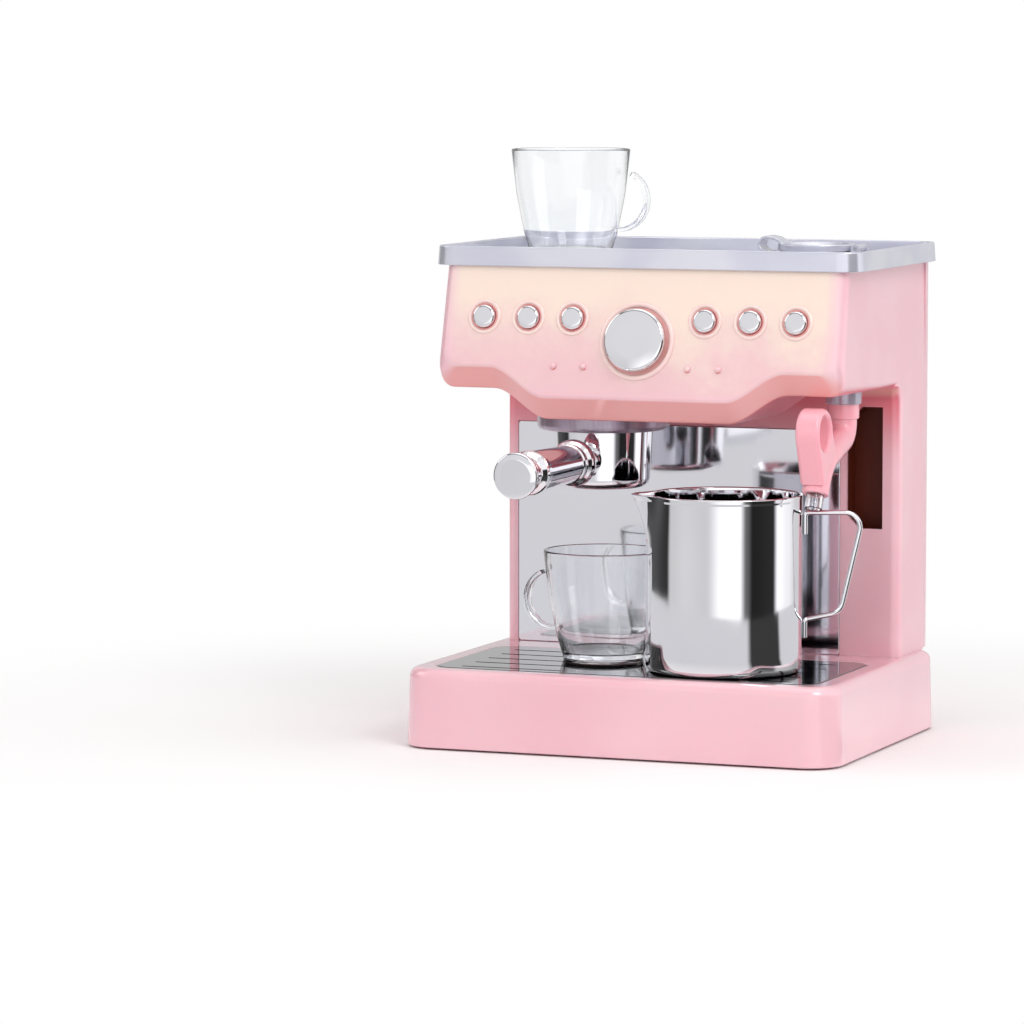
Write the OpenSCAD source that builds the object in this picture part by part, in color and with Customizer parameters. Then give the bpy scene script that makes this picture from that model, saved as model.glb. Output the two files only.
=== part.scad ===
// Toy espresso machine with its working attachments: bayonet portafilter, steam wand,
// milk pitcher and two clear cups. Millimetres, +Z up, +X to the user's right, -Y to the user.
// The origin is the centre of the base on the surface that the machine stands on.

/* [Base] */
// Width of the base at its foot
base_w = 256; // [250:1:270]
// Depth of the base, front to back
base_d = 202; // [196:1:220]
// Height of the base's top face above the table
base_h = 45; // [40:1:55]
// Radius of the base's upright corners
base_corner_r = 20; // [12:1:30]
// Wall thickness of the large mouldings
wall = 2.5; // [2:0.1:3]

/* [Drip plate] */
// Width of the black drip plate
plate_w = 225; // [215:1:228]
// Depth of the drip plate
plate_d = 105.5; // [98:0.5:108]
// Number of slots in each of the two groups
slot_rows = 5; // [3:1:5]

/* [Housing] */
// Width of the housing and its column
body_w = 239; // [230:1:242]
// Height of the housing's top edge above the table
body_top = 268.3; // [262:0.1:276]
// Front face of the column that carries the mirror
column_front_y = 45.5; // [42:0.5:50]
// Lean of the control panel from the upright, in degrees
panel_lean = 12.2; // [8:0.1:15]
// Width across the outer ends of the low middle part of the control panel's edge
belly_w = 106; // [96:1:116]

/* [Controls] */
// Distance between neighbouring buttons
button_pitch = 26.4; // [24:0.1:28]
// Diameter of a button's chrome cap
button_d = 13; // [12:0.1:15]
// Diameter of the dial
dial_d = 35.5; // [30:0.5:38]

/* [Brewing] */
// Distance of the group head from the middle, towards the left
group_x = 36; // [30:1:40]
// Outer diameter of the group head
group_d = 75; // [70:0.5:76]
// Length of the portafilter's handle
handle_l = 104; // [90:1:115]

/* [Steam wand] */
// Distance of the wand's socket from the middle, towards the right
wand_x = 103; // [98:1:105]
// Diameter of the wand's pipe
wand_d = 15; // [14:0.5:16]

/* [Pitcher and cups] */
// Diameter of the pitcher at its foot
pitcher_d = 87; // [80:1:88]
// Height of the pitcher
pitcher_h = 99; // [90:1:99]
// Diameter of a cup's mouth
cup_d = 68; // [60:1:70]
// Height of a cup
cup_h = 62; // [52:1:66]

/* [Hidden] */
$fn = 64;
hull_fn = 32;
eps = 0.01;

// base and plate
foot_h = 1;
foot_r = 9;
pan_z = foot_h;
base_top_fillet = 5;
base_draft = 1.2;
plate_t = 3;
plate_y0 = -87.7;
plate_top = base_h + 0.1;
plate_fit = 0.35;
plate_r = 12;
slot_x0 = 38;
slot_x1 = 97;
slot_pitch = 20;
slot_w = 1.4;
slot_y0 = -79.2;
base_back_y = base_d / 2;

// housing outline
body_back_y = 93;
cover_back_y = 102;
column_r = 5.5;
panel_top_y = -52;
panel_slope = tan(panel_lean);
lobe_z = 213;
belly_z = 196.7;
bevel_back = 10;
bevel_drop = 13;
lobe_x = 87;
belly_x = belly_w / 2;
belly_end = 23;
step_r = 12;
edge_r = 3;
corner_r = 8;
side_taper = 0.02;
under_lobe = lobe_z - bevel_drop;
under_belly = belly_z - bevel_drop;

// mirror and window in the column's front wall
mirror_x0 = -112;
mirror_x1 = 84;
mirror_z1 = 173.5;
mirror_t = 1.5;
window_x0 = 88;
window_x1 = 109.3;
window_z0 = 118;
window_z1 = 187.3;
window_chamfer = 9;
window_foot_chamfer = 7.5;

// top tray
tray_w = 250;
tray_y0 = -54;
tray_y1 = 102;
tray_z1 = 279.3;
tray_r = 13;
tray_wall = 3;
tray_floor = 270.3;

// controls, measured square to the leaning panel
button_z = 240.2;
button_x = [for (s = [-1, 1]) for (i = [0 : 2]) s * (39 + i * button_pitch)];
button_out = 3;
button_hole_r = button_d / 2 + 1;
button_flange_r = button_d / 2 + 1.9;
button_travel = 1.8;
dial_z = 228.4;
dial_out = 7;
lamp_z = 213.8;
lamp_x = [-48.5, -30.7, 30.7, 48.5];
board_back = 12.6;

// tank and lid
lid_x = 76;
lid_y = 25.5;
lid_r = 22;
lid_z = 276.4;
lid_pin_x = lid_x + lid_r + 3;
lid_pin_z = 278;
lid_pin_r = 1.2;

// brewing
group_y = -17;
group_z0 = 175.7;
group_r = group_d / 2;
basket_r = 28;
basket_z0 = 143;
basket_z1 = 187;
lug_z = 180;
lug_out = 31.2;
handle_z = 160;

// wand, measured outwards from its socket's axis
wand_y = -7.5;
socket_z0 = 193;
socket_r = 10;
tube_r = 5;
wand_angle = -90;
wand_r = wand_d / 2;
collar_r = 8.7;
collar_l = 12.4;
collar_top = 197;
elbow_r = 10.5;
elbow_turn = 73.5;
elbow_z = collar_top - collar_l - 1.6;
arm_l = 23;
tip_r = 30;
tip_turn = 52;
tip_l = 2.5;
tab_r = 13.6;
finger_r = 9.6;

// pitcher and cups
pitcher_x = 46;
pitcher_y = -45;
pitcher_turn = 20;
pitcher_wall = 1.6;
cup_wall = 1.8;
cup_foot_d = 45;
tray_cup_x = -70;
tray_cup_y = 20;

// base inside
battery_r = 7.2;
battery_l = 50.5;
battery_pitch = 15;
bay_x = 31;
bay_y = 25;
bay_top = 20;

// ---------- shared shapes ----------

// Upright slab with rounded corners between two heights
module slab(w, d, r, z0, z1) {
    translate([0, 0, z0])
        linear_extrude(z1 - z0)
            rounded_rect(w, d, r);
}

module rounded_rect(w, d, r) {
    square([w - 2 * r, d], center = true);
    square([w, d - 2 * r], center = true);
    for (x = [-1, 1], y = [-1, 1])
        translate([x * (w / 2 - r), y * (d / 2 - r)])
            circle(r, $fn = hull_fn);
}

function panel_y(z) = panel_top_y - panel_slope * (body_top - z);

// Places a child on the leaning panel, with its +Z pointing out of the panel
module on_panel(x, z) {
    translate([x, panel_y(z), z])
        rotate([90 - panel_lean, 0, 0])
            children();
}

module ring(r_out, r_in, z0, z1) {
    translate([0, 0, z0])
        difference() {
            cylinder(r = r_out, h = z1 - z0);
            translate([0, 0, -1]) cylinder(r = r_in, h = z1 - z0 + 2);
        }
}

// ---------- housing form ----------

function side_x(z) = body_w / 2 - side_taper * max(0, z - lobe_z);
function smooth(t) = t * t * (3 - 2 * t);

// Right half of the housing's outline, from its top edge down to its middle.
// Inset narrows it, lift raises its lower edge, and rise flattens the low middle part.
function half_outline(inset, lift, rise, top) = concat(
    [[side_x(top) - inset, top]],
    [for (a = [0 : 30 : 90])
        [side_x(lobe_z) - inset - edge_r * (1 - cos(a)), lobe_z + lift + edge_r * (1 - sin(a))]],
    [for (i = [10 : -1 : 0])
        let (t = i / 10, low = (lobe_z - belly_z) * (1 - smooth(t)) * (1 - rise))
        [belly_x + (lobe_x - belly_x) * t, lobe_z + lift - low]]);

function outline(inset, lift, rise, top) =
    let (h = half_outline(inset, lift, rise, top), n = len(h))
    concat(h, [for (i = [n - 1 : -1 : 0]) [-h[i][0], h[i][1]]]);

// One section of the housing: parallel to the panel, a distance behind it
function panel_section(back, inset, lift, top) =
    [for (p = outline(inset, lift, 0, top)) [p[0], panel_y(p[1]) + back, p[1]]];

// One upright section of the housing at a given depth
function flat_section(y, inset, lift, rise, top) =
    [for (p = outline(inset, lift, rise, top)) [p[0], y, p[1]]];

function bevel_at(back) = -bevel_drop * min(1, back / bevel_back);

// The housing's sections, a wall thickness inside its outer skin. Its upright corners
// are round, and its low middle part ends in a round step behind the group head.
function head_sections(t, top, end) = concat(
    [for (a = [0 : 15 : 90])
        let (d = (corner_r - t) * (1 - cos(a)))
        panel_section(t + d, t + (corner_r - t) * (1 - sin(a)), t + bevel_at(d), top)],
    [panel_section(t + bevel_back, t, t - bevel_drop, top)],
    [for (a = [0 : 18 : 90])
        flat_section(belly_end - t + step_r * (sin(a) - 1), t, t - bevel_drop, 1 - cos(a), top)],
    [flat_section(end, t, t - bevel_drop, 1, top)]);

module skin(sections) {
    n = len(sections[0]);
    m = len(sections);
    points = [for (s = sections) for (p = s) p];
    walls = [for (k = [0 : m - 2]) for (i = [0 : n - 1])
        let (j = (i + 1) % n)
        each [[k * n + i, (k + 1) * n + i, k * n + j],
              [k * n + j, (k + 1) * n + i, (k + 1) * n + j]]];
    front = [for (i = [0 : n - 1]) i];
    back = [for (i = [n - 1 : -1 : 0]) (m - 1) * n + i];
    polyhedron(points, concat([front], walls, [back]));
}

module head_solid() { skin(head_sections(0, body_top, body_back_y)); }
module head_hollow() { skin(head_sections(wall, body_top + 1, body_back_y + 1)); }

module column_plan(inset) {
    y0 = column_front_y + inset;
    y1 = inset > 0 ? body_back_y + 1 : body_back_y;
    r = column_r - inset;
    hull() {
        for (s = [-1, 1]) {
            translate([s * (body_w / 2 - column_r), column_front_y + column_r])
                circle(r, $fn = hull_fn);
            translate([s * (body_w / 2 - inset - 1), y1 - 1])
                square(2, center = true);
        }
    }
}

module window_plan(grow) {
    x0 = window_x0 - grow;
    x1 = window_x1 + grow;
    z0 = window_z0 - grow;
    z1 = window_z1 + grow;
    c = window_chamfer;
    f = window_foot_chamfer;
    polygon([[x0, z0 + f], [x0 + f, z0], [x1, z0], [x1, z1], [x0 + c, z1], [x0, z1 - c]]);
}

// ---------- base ----------

module base_shell() {
    color("pink")
        difference() {
            hull() {
                slab(base_w, base_d, base_corner_r, pan_z, pan_z + 1);
                slab(base_w - 2 * base_draft, base_d - 2 * base_draft, base_corner_r,
                     base_h - base_top_fillet - 1, base_h - base_top_fillet);
                slab(base_w - 2 * base_draft - 3, base_d - 2 * base_draft - 3,
                     base_corner_r - 1.5, base_h - 2, base_h - 1.4);
                slab(base_w - 2 * base_draft - 9, base_d - 2 * base_draft - 9,
                     base_corner_r - 4.5, base_h - 0.1, base_h);
            }
            // hollow underside
            slab(base_w - 12, base_d - 12, base_corner_r - 6, -1, base_h - plate_t - wall - 1);
            // recess for the bottom pan
            slab(base_w - 6, base_d - 6, base_corner_r - 3, -1, pan_z + wall);
            // recess for the drip plate
            translate([0, plate_y0 + plate_d / 2, 0])
                slab(plate_w + 2 * plate_fit, plate_d + 2 * plate_fit, plate_r + plate_fit,
                     plate_top - plate_t, base_h + 1);
            // wire pass and screw holes under the column
            translate([0, column_front_y + 24, 20]) cylinder(r = 8, h = base_h);
            for (p = base_screw_at) translate([p[0], p[1], 20]) cylinder(r = 1.8, h = base_h);
        }
}

base_screw_at = [[-100, 62], [-48, 80], [48, 80], [100, 62]];

module base_pan() {
    color("lightpink")
        difference() {
            union() {
                slab(base_w - 6.6, base_d - 6.6, base_corner_r - 3.3, pan_z, pan_z + wall - 0.1);
                translate([0, 0, pan_z]) battery_walls();
                // drip plate supports
                for (x = [-80, 0, 80], y = [-72, 2])
                    translate([x, y, pan_z + 1])
                        ring(4, 2, 0, base_h - plate_t - wall - 2.1 - pan_z);
            }
            slab(2 * bay_x - 4, 2 * bay_y - 4, 2, -1, bay_top - 2);
            // seat for the battery door
            slab(2 * bay_x, 2 * bay_y, 3, -1, pan_z + 1.6);
            for (p = foot_at) translate([p[0], p[1], -1]) cylinder(r = foot_r + 0.1, h = 2 + 0.6);
            for (p = base_screw_at) translate([p[0], p[1], -1]) cylinder(r = 4, h = 10);
        }
}

module battery_walls() {
    slab(2 * bay_x + 4, 2 * bay_y + 4, 3, 0, bay_top - pan_z);
}

foot_at = [for (x = [-1, 1], y = [-1, 1]) [x * (base_w / 2 - 22), y * (base_d / 2 - 22)]];

module rubber_feet() {
    color("dimgray")
        for (p = foot_at)
            translate([p[0], p[1], 0])
                cylinder(r = foot_r, h = foot_h + 0.6);
}

module drip_plate() {
    color("black")
        difference() {
            translate([0, plate_y0 + plate_d / 2, 0])
                slab(plate_w, plate_d, plate_r, plate_top - plate_t, plate_top);
            for (i = [0 : slot_rows - 1], s = [-1, 1])
                translate([s * (slot_x0 + slot_x1) / 2, slot_y0 + i * slot_pitch, base_h])
                    cube([slot_x1 - slot_x0, slot_w, 20], center = true);
        }
}

module battery_door() {
    color("lightpink")
        difference() {
            slab(2 * bay_x - 0.6, 2 * bay_y - 0.6, 2.7, pan_z + 0.1, pan_z + 1.6);
            translate([bay_x - 5, 0, 0]) cylinder(r = 1.7, h = 5);
        }
}

module door_screw() {
    color("silver")
        translate([bay_x - 5, 0, 0]) {
            translate([0, 0, pan_z + 0.1 - 0.6]) cylinder(r = 3, h = 0.6);
            translate([0, 0, pan_z - 0.2]) cylinder(r = 1.5, h = 3.4);
        }
}

module batteries() {
    color("gold")
        for (i = [-1 : 1])
            translate([-battery_l / 2 - 1, i * battery_pitch, pan_z + 2 + battery_r]) {
                rotate([0, 90, 0]) cylinder(r = battery_r, h = battery_l - 1);
                translate([battery_l - 1, 0, 0]) rotate([0, 90, 0]) cylinder(r = 2.7, h = 1);
            }
}

module battery_contacts() {
    color("silver")
        for (i = [-1 : 1], s = [-1, 1])
            translate([s * (bay_x - 2.4), i * battery_pitch, pan_z + 2 + battery_r])
                cube([0.6, 9, 9], center = true);
}

// ---------- housing ----------

module body_housing() {
    color("pink") {
        difference() {
            union() {
                difference() {
                    union() {
                        head_solid();
                        translate([0, 0, base_h]) linear_extrude(lobe_z - base_h)
                            column_plan(0);
                    }
                    head_hollow();
                    translate([0, 0, base_h + wall]) linear_extrude(body_top)
                        column_plan(wall);
                    // the mirror's seat
                    translate([mirror_x0 - 0.2, column_front_y - 1, base_h - 1])
                        cube([mirror_x1 - mirror_x0 + 0.4, mirror_t + 1.1, mirror_z1 - base_h + 1.2]);
                }
                // posts for the boards and bosses for the rear cover
                for (p = rear_screw_at)
                    translate([p[0], body_back_y - 14, p[1]]) rotate([-90, 0, 0])
                        cylinder(r = 5, h = 14);
                for (p = main_board_posts)
                    translate([p[0], column_front_y + 1.5, p[1]]) rotate([-90, 0, 0])
                        cylinder(r = 3, h = 9);
                for (p = base_screw_at)
                    translate([p[0], p[1], base_h]) cylinder(r = 5, h = 14);
                for (x = [-112, -14.5, 14.5, 112])
                    on_panel(x * 0.95, button_z)
                        translate([0, 0, -board_back + 1.6]) cylinder(r = 3, h = board_back - 2.6);
            }
            // holes
            translate([0, column_front_y + wall + 1, 0]) rotate([90, 0, 0])
                linear_extrude(wall + 2) window_plan(0);
            for (x = button_x) on_panel(x, button_z)
                translate([0, 0, -8]) cylinder(r = button_hole_r, h = 12);
            on_panel(0, dial_z) translate([0, 0, -8]) cylinder(r = 3.06, h = 20);
            translate([-group_x, group_y, under_belly - 5]) cylinder(r = group_r - 3, h = 20);
            translate([wand_x, wand_y, under_lobe - 5]) cylinder(r = socket_r + 0.1, h = 12);
            translate([0, column_front_y + 24, base_h - 1]) cylinder(r = 8, h = 10);
            for (p = base_screw_at)
                translate([p[0], p[1], base_h - 1]) cylinder(r = 1.25, h = 12);
            for (p = rear_screw_at)
                translate([p[0], body_back_y - 11, p[1]]) rotate([-90, 0, 0])
                    cylinder(r = 1.25, h = 14);
        }
        for (x = button_x) on_panel(x, button_z)
            ring(button_d / 2 + 2.9, button_d / 2 + 1.2, -1, 0.8);
        on_panel(0, dial_z) ring(dial_d / 2 + 4, dial_d / 2 + 1.5, -1, 1);
        for (x = lamp_x) on_panel(x, lamp_z) sphere(r = 2.1);
    }
}

rear_screw_at = [[-112.7, 70], [-112.7, 245], [112.7, 70], [112.7, 245]];
main_board_posts = [[-84, 66], [-16, 66], [-84, 134], [-16, 134]];

// The rear cover seen from above: a tray with two round corners, open to the front
module cover_plan(inset) {
    w = body_w / 2 - inset;
    r = 6 - inset;
    y0 = body_back_y - (inset > 0 ? 1 : 0);
    y1 = cover_back_y - inset;
    translate([-w, y0]) square([2 * w, y1 - r - y0]);
    translate([-w + r, y0]) square([2 * (w - r), y1 - y0]);
    for (s = [-1, 1])
        intersection() {
            translate([s * (w - r), y1 - r]) circle(r, $fn = hull_fn);
            translate([-w - 1, y0]) square([2 * w + 2, y1 - y0 + 1]);
        }
}

module rear_cover() {
    color("pink")
        difference() {
            union() {
                difference() {
                    translate([0, 0, base_h + 0.1]) linear_extrude(body_top - base_h - 0.2)
                        cover_plan(0);
                    translate([0, 0, base_h + 0.1 + wall])
                        linear_extrude(body_top - base_h - 0.2 - 2 * wall) cover_plan(wall);
                }
                for (p = rear_screw_at)
                    translate([p[0] - sign(p[0]) * 0.2, body_back_y, p[1]])
                        rotate([-90, 0, 0]) cylinder(r = 5, h = 5);
            }
            for (p = rear_screw_at)
                translate([p[0], body_back_y - 1, p[1]]) rotate([-90, 0, 0]) {
                    cylinder(r = 1.7, h = 12);
                    translate([0, 0, 4.5]) cylinder(r = 3.2, h = 12);
                }
            for (i = [0 : 2], k = [0 : 5 + 5 * i])
                rotate_about_speaker(k * 60 / (i + 1))
                    translate([5 * (i + 1), 0, 0]) grille_hole();
            rotate_about_speaker(0) grille_hole();
        }
}

speaker_x = 40;
speaker_z = 110;

module rotate_about_speaker(a) {
    translate([speaker_x, cover_back_y, speaker_z])
        rotate([90, 0, 0]) rotate(a) children();
}

module grille_hole() {
    translate([0, 0, -1]) cylinder(r = 1.2, h = 2 * wall);
}

module rear_screws() {
    color("silver")
        for (p = rear_screw_at)
            translate([p[0], cover_back_y - 2.5, p[1]]) rotate([90, 0, 0]) {
                cylinder(r = 1.25, h = 13);
                translate([0, 0, -1.4]) cylinder(r = 2.8, h = 1.4);
            }
}

module base_screws() {
    color("silver")
        for (p = base_screw_at)
            translate([p[0], p[1], base_h - plate_t - wall - 1 - 2]) {
                cylinder(r = 2.9, h = 2);
                cylinder(r = 1.25, h = 18);
            }
}

module mirror_panel() {
    color("gainsboro")
        translate([mirror_x0, column_front_y, base_h + 0.05])
            cube([mirror_x1 - mirror_x0, mirror_t, mirror_z1 - base_h - 0.1]);
}

// Dark open-fronted box behind the window
module window_liner() {
    y0 = column_front_y + wall + 0.1;
    color("saddlebrown")
        difference() {
            translate([0, y0 + 16, 0]) rotate([90, 0, 0])
                linear_extrude(16) window_plan(1.9);
            translate([0, y0 + 14.4, 0]) rotate([90, 0, 0])
                linear_extrude(16) window_plan(0.4);
        }
}

module cup_tray() {
    color("lightsteelblue")
        difference() {
            union() {
                difference() {
                    translate([0, (tray_y0 + tray_y1) / 2, 0]) hull() {
                        slab(tray_w + 1.6, tray_y1 - tray_y0 + 1, tray_r, body_top - 0, body_top + 1);
                        slab(tray_w, tray_y1 - tray_y0, tray_r, tray_z1 - 1, tray_z1);
                    }
                    translate([0, (tray_y0 + tray_y1) / 2, 0])
                        slab(tray_w - 2 * tray_wall, tray_y1 - tray_y0 - 2 * tray_wall,
                             tray_r - tray_wall, tray_floor, tray_z1 + 1);
                }
                // filler collar and the two ears that hold the lid's pin
                translate([lid_x, lid_y, 0]) ring(lid_r + 1, lid_r - 1.5, tray_floor - 1, lid_z - 0.4);
                for (s = [-1, 1])
                    translate([lid_pin_x, lid_y + s * 6.5, 0]) {
                        translate([-3, -1.5, tray_floor - 1]) cube([6, 3, lid_pin_z - tray_floor + 1]);
                        translate([0, 1.5, lid_pin_z]) rotate([90, 0, 0]) cylinder(r = 3, h = 3);
                    }
            }
            translate([lid_x, lid_y, body_top - 1]) cylinder(r = lid_r - 1.5, h = 20);
            translate([lid_pin_x, lid_y + 20, lid_pin_z]) rotate([90, 0, 0])
                cylinder(r = lid_pin_r, h = 40);
        }
}

// ---------- tank and mist ----------

module water_tank() {
    x0 = 50;
    x1 = 114;
    y0 = -24;
    y1 = 52;
    z0 = 222;
    z1 = 262;
    color("aliceblue")
        difference() {
            union() {
                translate([x0, y0, z0]) cube([x1 - x0, y1 - y0, z1 - z0]);
                translate([lid_x, lid_y, z1 - 1]) cylinder(r = lid_r - 1.8, h = lid_z - 1.4 - z1);
            }
            translate([x0 + 2, y0 + 2, z0 + 2]) cube([x1 - x0 - 4, y1 - y0 - 4, z1 - z0 - 4]);
            translate([lid_x, lid_y, z1 - 5]) cylinder(r = lid_r - 3.8, h = 30);
            translate([wand_x, wand_y, z0 - 1]) cylinder(r = 7, h = 10);
        }
}

module mist_seal() {
    color("dimgray") translate([wand_x, wand_y, 0]) ring(10.5, 7, 219, 222);
}

module mist_disc() {
    color("goldenrod") translate([wand_x, wand_y, 0]) ring(10.5, 2, 218, 219);
}

module mist_duct() {
    color("white")
        translate([wand_x, wand_y, 0]) {
            ring(10.5, 6.6, 215, 218);
            ring(9, 6.6, 205.5, 215);
        }
}

module wand_socket() {
    color("lightslategray")
        translate([wand_x, wand_y, 0]) {
            ring(socket_r, collar_r + 0.3, socket_z0, collar_top + 0.4);
            ring(socket_r, tube_r + 0.05, collar_top + 0.4, 203);
            ring(socket_r + 1.5, tube_r + 0.05, 202.6, 205.5);
        }
}

// ---------- brewing ----------

module group_head() {
    color("thistle")
        translate([-group_x, group_y, 0])
            difference() {
                union() {
                    cylinder_between(group_r, group_z0 + 2, under_belly);
                    translate([0, 0, group_z0]) cylinder(r1 = group_r - 2, r2 = group_r, h = 2);
                    cylinder_between(group_r - 3.05, under_belly - 1, 200);
                }
                // throat, groove for the lugs, and the notches that let them in
                cylinder_between(basket_r + 1.6, group_z0 - 1, 196);
                cylinder_between(lug_out + 0.3, lug_z - 0.4, lug_z + 3.4);
                for (a = [0, 180]) rotate(a - 45)
                    lug_sector(lug_out + 0.3, group_z0 - 1, lug_z + 3, 46);
            }
}

module cylinder_between(r, z0, z1) {
    translate([0, 0, z0]) cylinder(r = r, h = z1 - z0);
}

// A sector of a disc, centred on the +X direction
module lug_sector(r, z0, z1, spread) {
    translate([0, 0, z0])
        linear_extrude(z1 - z0)
            intersection() {
                circle(r);
                polygon([[0, 0],
                         [2 * r * cos(spread / 2), -2 * r * sin(spread / 2)],
                         [2 * r * cos(spread / 2), 2 * r * sin(spread / 2)]]);
            }
}

module shower_screen() {
    color("silver")
        translate([-group_x, group_y, 0])
            difference() {
                cylinder_between(basket_r + 1.4, 191, 192.5);
                for (i = [1 : 3], k = [0 : 6 * i - 1])
                    rotate(k * 60 / i) translate([7 * i, 0, 180]) cylinder(r = 1.1, h = 20);
            }
}

module portafilter_basket() {
    color("silver")
        translate([-group_x, group_y, 0])
            union() {
                rotate_extrude()
                    polygon(concat(
                        [[0, basket_z0], [basket_r - 8, basket_z0]],
                        [for (a = [15 : 15 : 90])
                            [basket_r - 8 + 6 * sin(a), basket_z0 + 6 * (1 - cos(a))]],
                        [[basket_r, basket_z1 - 3], [basket_r + 1.2, basket_z1 - 2.4],
                         [basket_r + 1.2, basket_z1 - 0.6], [basket_r + 0.6, basket_z1],
                         [basket_r - 1.4, basket_z1], [basket_r - 1.8, basket_z1 - 2],
                         [basket_r - 3.8, basket_z0 + 6]],
                        [for (a = [75 : -15 : 0])
                            [basket_r - 8 + 4.2 * sin(a), basket_z0 + 1.8 + 4.2 * (1 - cos(a))]],
                        [[0, basket_z0 + 1.8]]));
                for (a = [0, 180])
                    rotate(a)
                        difference() {
                            lug_sector(lug_out, lug_z, lug_z + 3, 40);
                            cylinder_between(basket_r - 1, lug_z - 1, lug_z + 4);
                        }
                // boss that takes the handle
                difference() {
                    translate([0, 0, handle_z]) rotate([90, 0, 0]) cylinder(r = 8, h = basket_r + 6);
                    cylinder_between(basket_r - 2.4, basket_z0, basket_z1);
                }
            }
}

// The handle's outline: distance along it, then radius
handle_outline = [[0, 7], [6, 7], [9, 9.2], [11.2, 12.2], [13, 13.2], [15, 13.4], [17, 12.8],
    [19, 11.2], [21, 10.6], [22.4, 11.2], [24, 11.2], [25.4, 10.4],
    [handle_l - 27, 11.8], [handle_l - 22, 12.2], [handle_l - 20, 11.6], [handle_l - 17, 9.6],
    [handle_l - 13, 9.2], [handle_l - 9, 10.4], [handle_l - 5, 12.3], [handle_l - 2, 12.8],
    [handle_l - 0.5, 12], [handle_l, 10]];

module portafilter_handle() {
    color("silver")
        translate([-group_x, group_y - basket_r - 6, handle_z]) rotate([90, 0, 0])
            rotate_extrude()
                polygon(concat([[0, 0]], [for (p = handle_outline) [p[1], p[0]]], [[0, handle_l]]));
}

// ---------- steam wand ----------

// Places a child at the wand's socket, turned to the wand's rest direction
module at_wand() {
    translate([wand_x, wand_y, 0]) rotate(wand_angle) rotate([90, 0, 0]) children();
}

arm_x = elbow_r * (1 - cos(elbow_turn));
arm_z = elbow_z - elbow_r * sin(elbow_turn);
arm_slope = 90 - elbow_turn;
bend_x = arm_x + arm_l * cos(arm_slope);
bend_z = arm_z - arm_l * sin(arm_slope);
tip_x = bend_x + tip_r * (sin(arm_slope + tip_turn) - sin(arm_slope));
tip_z = bend_z - tip_r * (cos(arm_slope) - cos(arm_slope + tip_turn));
tip_slope = arm_slope + tip_turn;

// A stretch of round bar in the wand's plane: local X is outwards, local Y is up.
// It runs a little past both ends, and is a hair thicker than the bends that it joins.
module bar(x, z, slope, length, r, before = 0.3, after = 0.3) {
    translate([x, z, 0]) rotate(-slope) rotate([0, 90, 0])
        translate([0, 0, -before]) cylinder(r = r + 0.03, h = before + length + after);
}

// The wand's line as a round bar of one radius, from a given height to past its tip
module wand_line(r, top, past) {
    bar(0, top, 90, top - elbow_z, r, before = 0);
    translate([elbow_r, elbow_z, 0]) rotate(180)
        rotate_extrude(angle = elbow_turn) translate([elbow_r, 0]) circle(r);
    bar(arm_x, arm_z, arm_slope, arm_l, r);
    translate([bend_x - tip_r * sin(arm_slope), bend_z - tip_r * cos(arm_slope), 0])
        rotate(90 - tip_slope)
            rotate_extrude(angle = tip_turn) translate([tip_r, 0]) circle(r);
    bar(tip_x, tip_z, tip_slope, past, r, after = 0);
}

// Places a child at the middle of the finger hole, square to the arm
module at_finger_hole() {
    translate([arm_x, arm_z, 0]) rotate(-arm_slope)
        translate([arm_l + 18, 20, 0]) children();
}

module wand_pipe() {
    color("pink")
        at_wand()
            difference() {
                union() {
                    wand_line(wand_r, collar_top, tip_l);
                    bar(0, collar_top, 90, collar_l, collar_r, before = 0, after = 0);
                    // flat tab with the finger hole
                    at_finger_hole()
                        translate([0, 0, -wand_r + 0.5]) linear_extrude(2 * wand_r - 1)
                            hull() {
                                circle(tab_r, $fn = hull_fn);
                                translate([-18, -17]) square([4, 2]);
                                translate([7, -26]) square([2, 2]);
                            }
                }
                wand_line(tube_r + 0.02, collar_top + 1, tip_l + 1);
                at_finger_hole() translate([0, 0, -20]) cylinder(r = finger_r, h = 40);
            }
}

module wand_tube() {
    color("white", 0.4)
        at_wand()
            difference() {
                wand_line(tube_r - 0.04, 204.5, tip_l + 8);
                wand_line(tube_r - 1.6, 206, tip_l + 9);
            }
}

// ---------- pitcher ----------

module at_pitcher() {
    translate([pitcher_x, pitcher_y, plate_top]) rotate(pitcher_turn) children();
}

module pitcher_body() {
    r0 = pitcher_d / 2;
    r1 = r0 - 0.1;
    t = pitcher_wall;
    spout = 9;
    color("silver")
        at_pitcher() {
            difference() {
                union() {
                    rotate_extrude()
                        polygon([[0, 0], [r0 - 5, 0], [r0 - 2, 0.8], [r0 - 0.4, 2.6], [r0, 5],
                                 [r1, pitcher_h], [0, pitcher_h]]);
                    spout_solid(r1, spout, 0);
                }
                translate([0, 0, t])
                    rotate_extrude()
                        polygon([[0, 0], [r0 - 5 - t, 0], [r0 - t, 5], [r1 - t, pitcher_h], [0, pitcher_h]]);
                spout_solid(r1 - t, spout, 1);
            }
        }
}

// The pinched pouring lip on the side away from the handle
module spout_solid(r, out, extra) {
    hull() {
        translate([-r + 6, 0, pitcher_h - 26]) sphere(r = 2, $fn = hull_fn);
        translate([-r - out + 3, 0, pitcher_h - 2 + extra])
            linear_extrude(2) circle(3, $fn = hull_fn);
        translate([-r + 9, 0, pitcher_h - 2 + extra])
            linear_extrude(2) square([2, 26], center = true);
    }
}

// The wire handle is drawn in the pitcher's upright plane. X is the distance from the
// body, and Z is the height above its foot.
wire_r = 1.4;
outer_bend_r = 8.5;
handle_top = 88.5;
handle_out = 32;
outer_lean = 13;
outer_l = 41;
foot_slope = 12;
tab_x = wire_r + 0.1;

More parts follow.
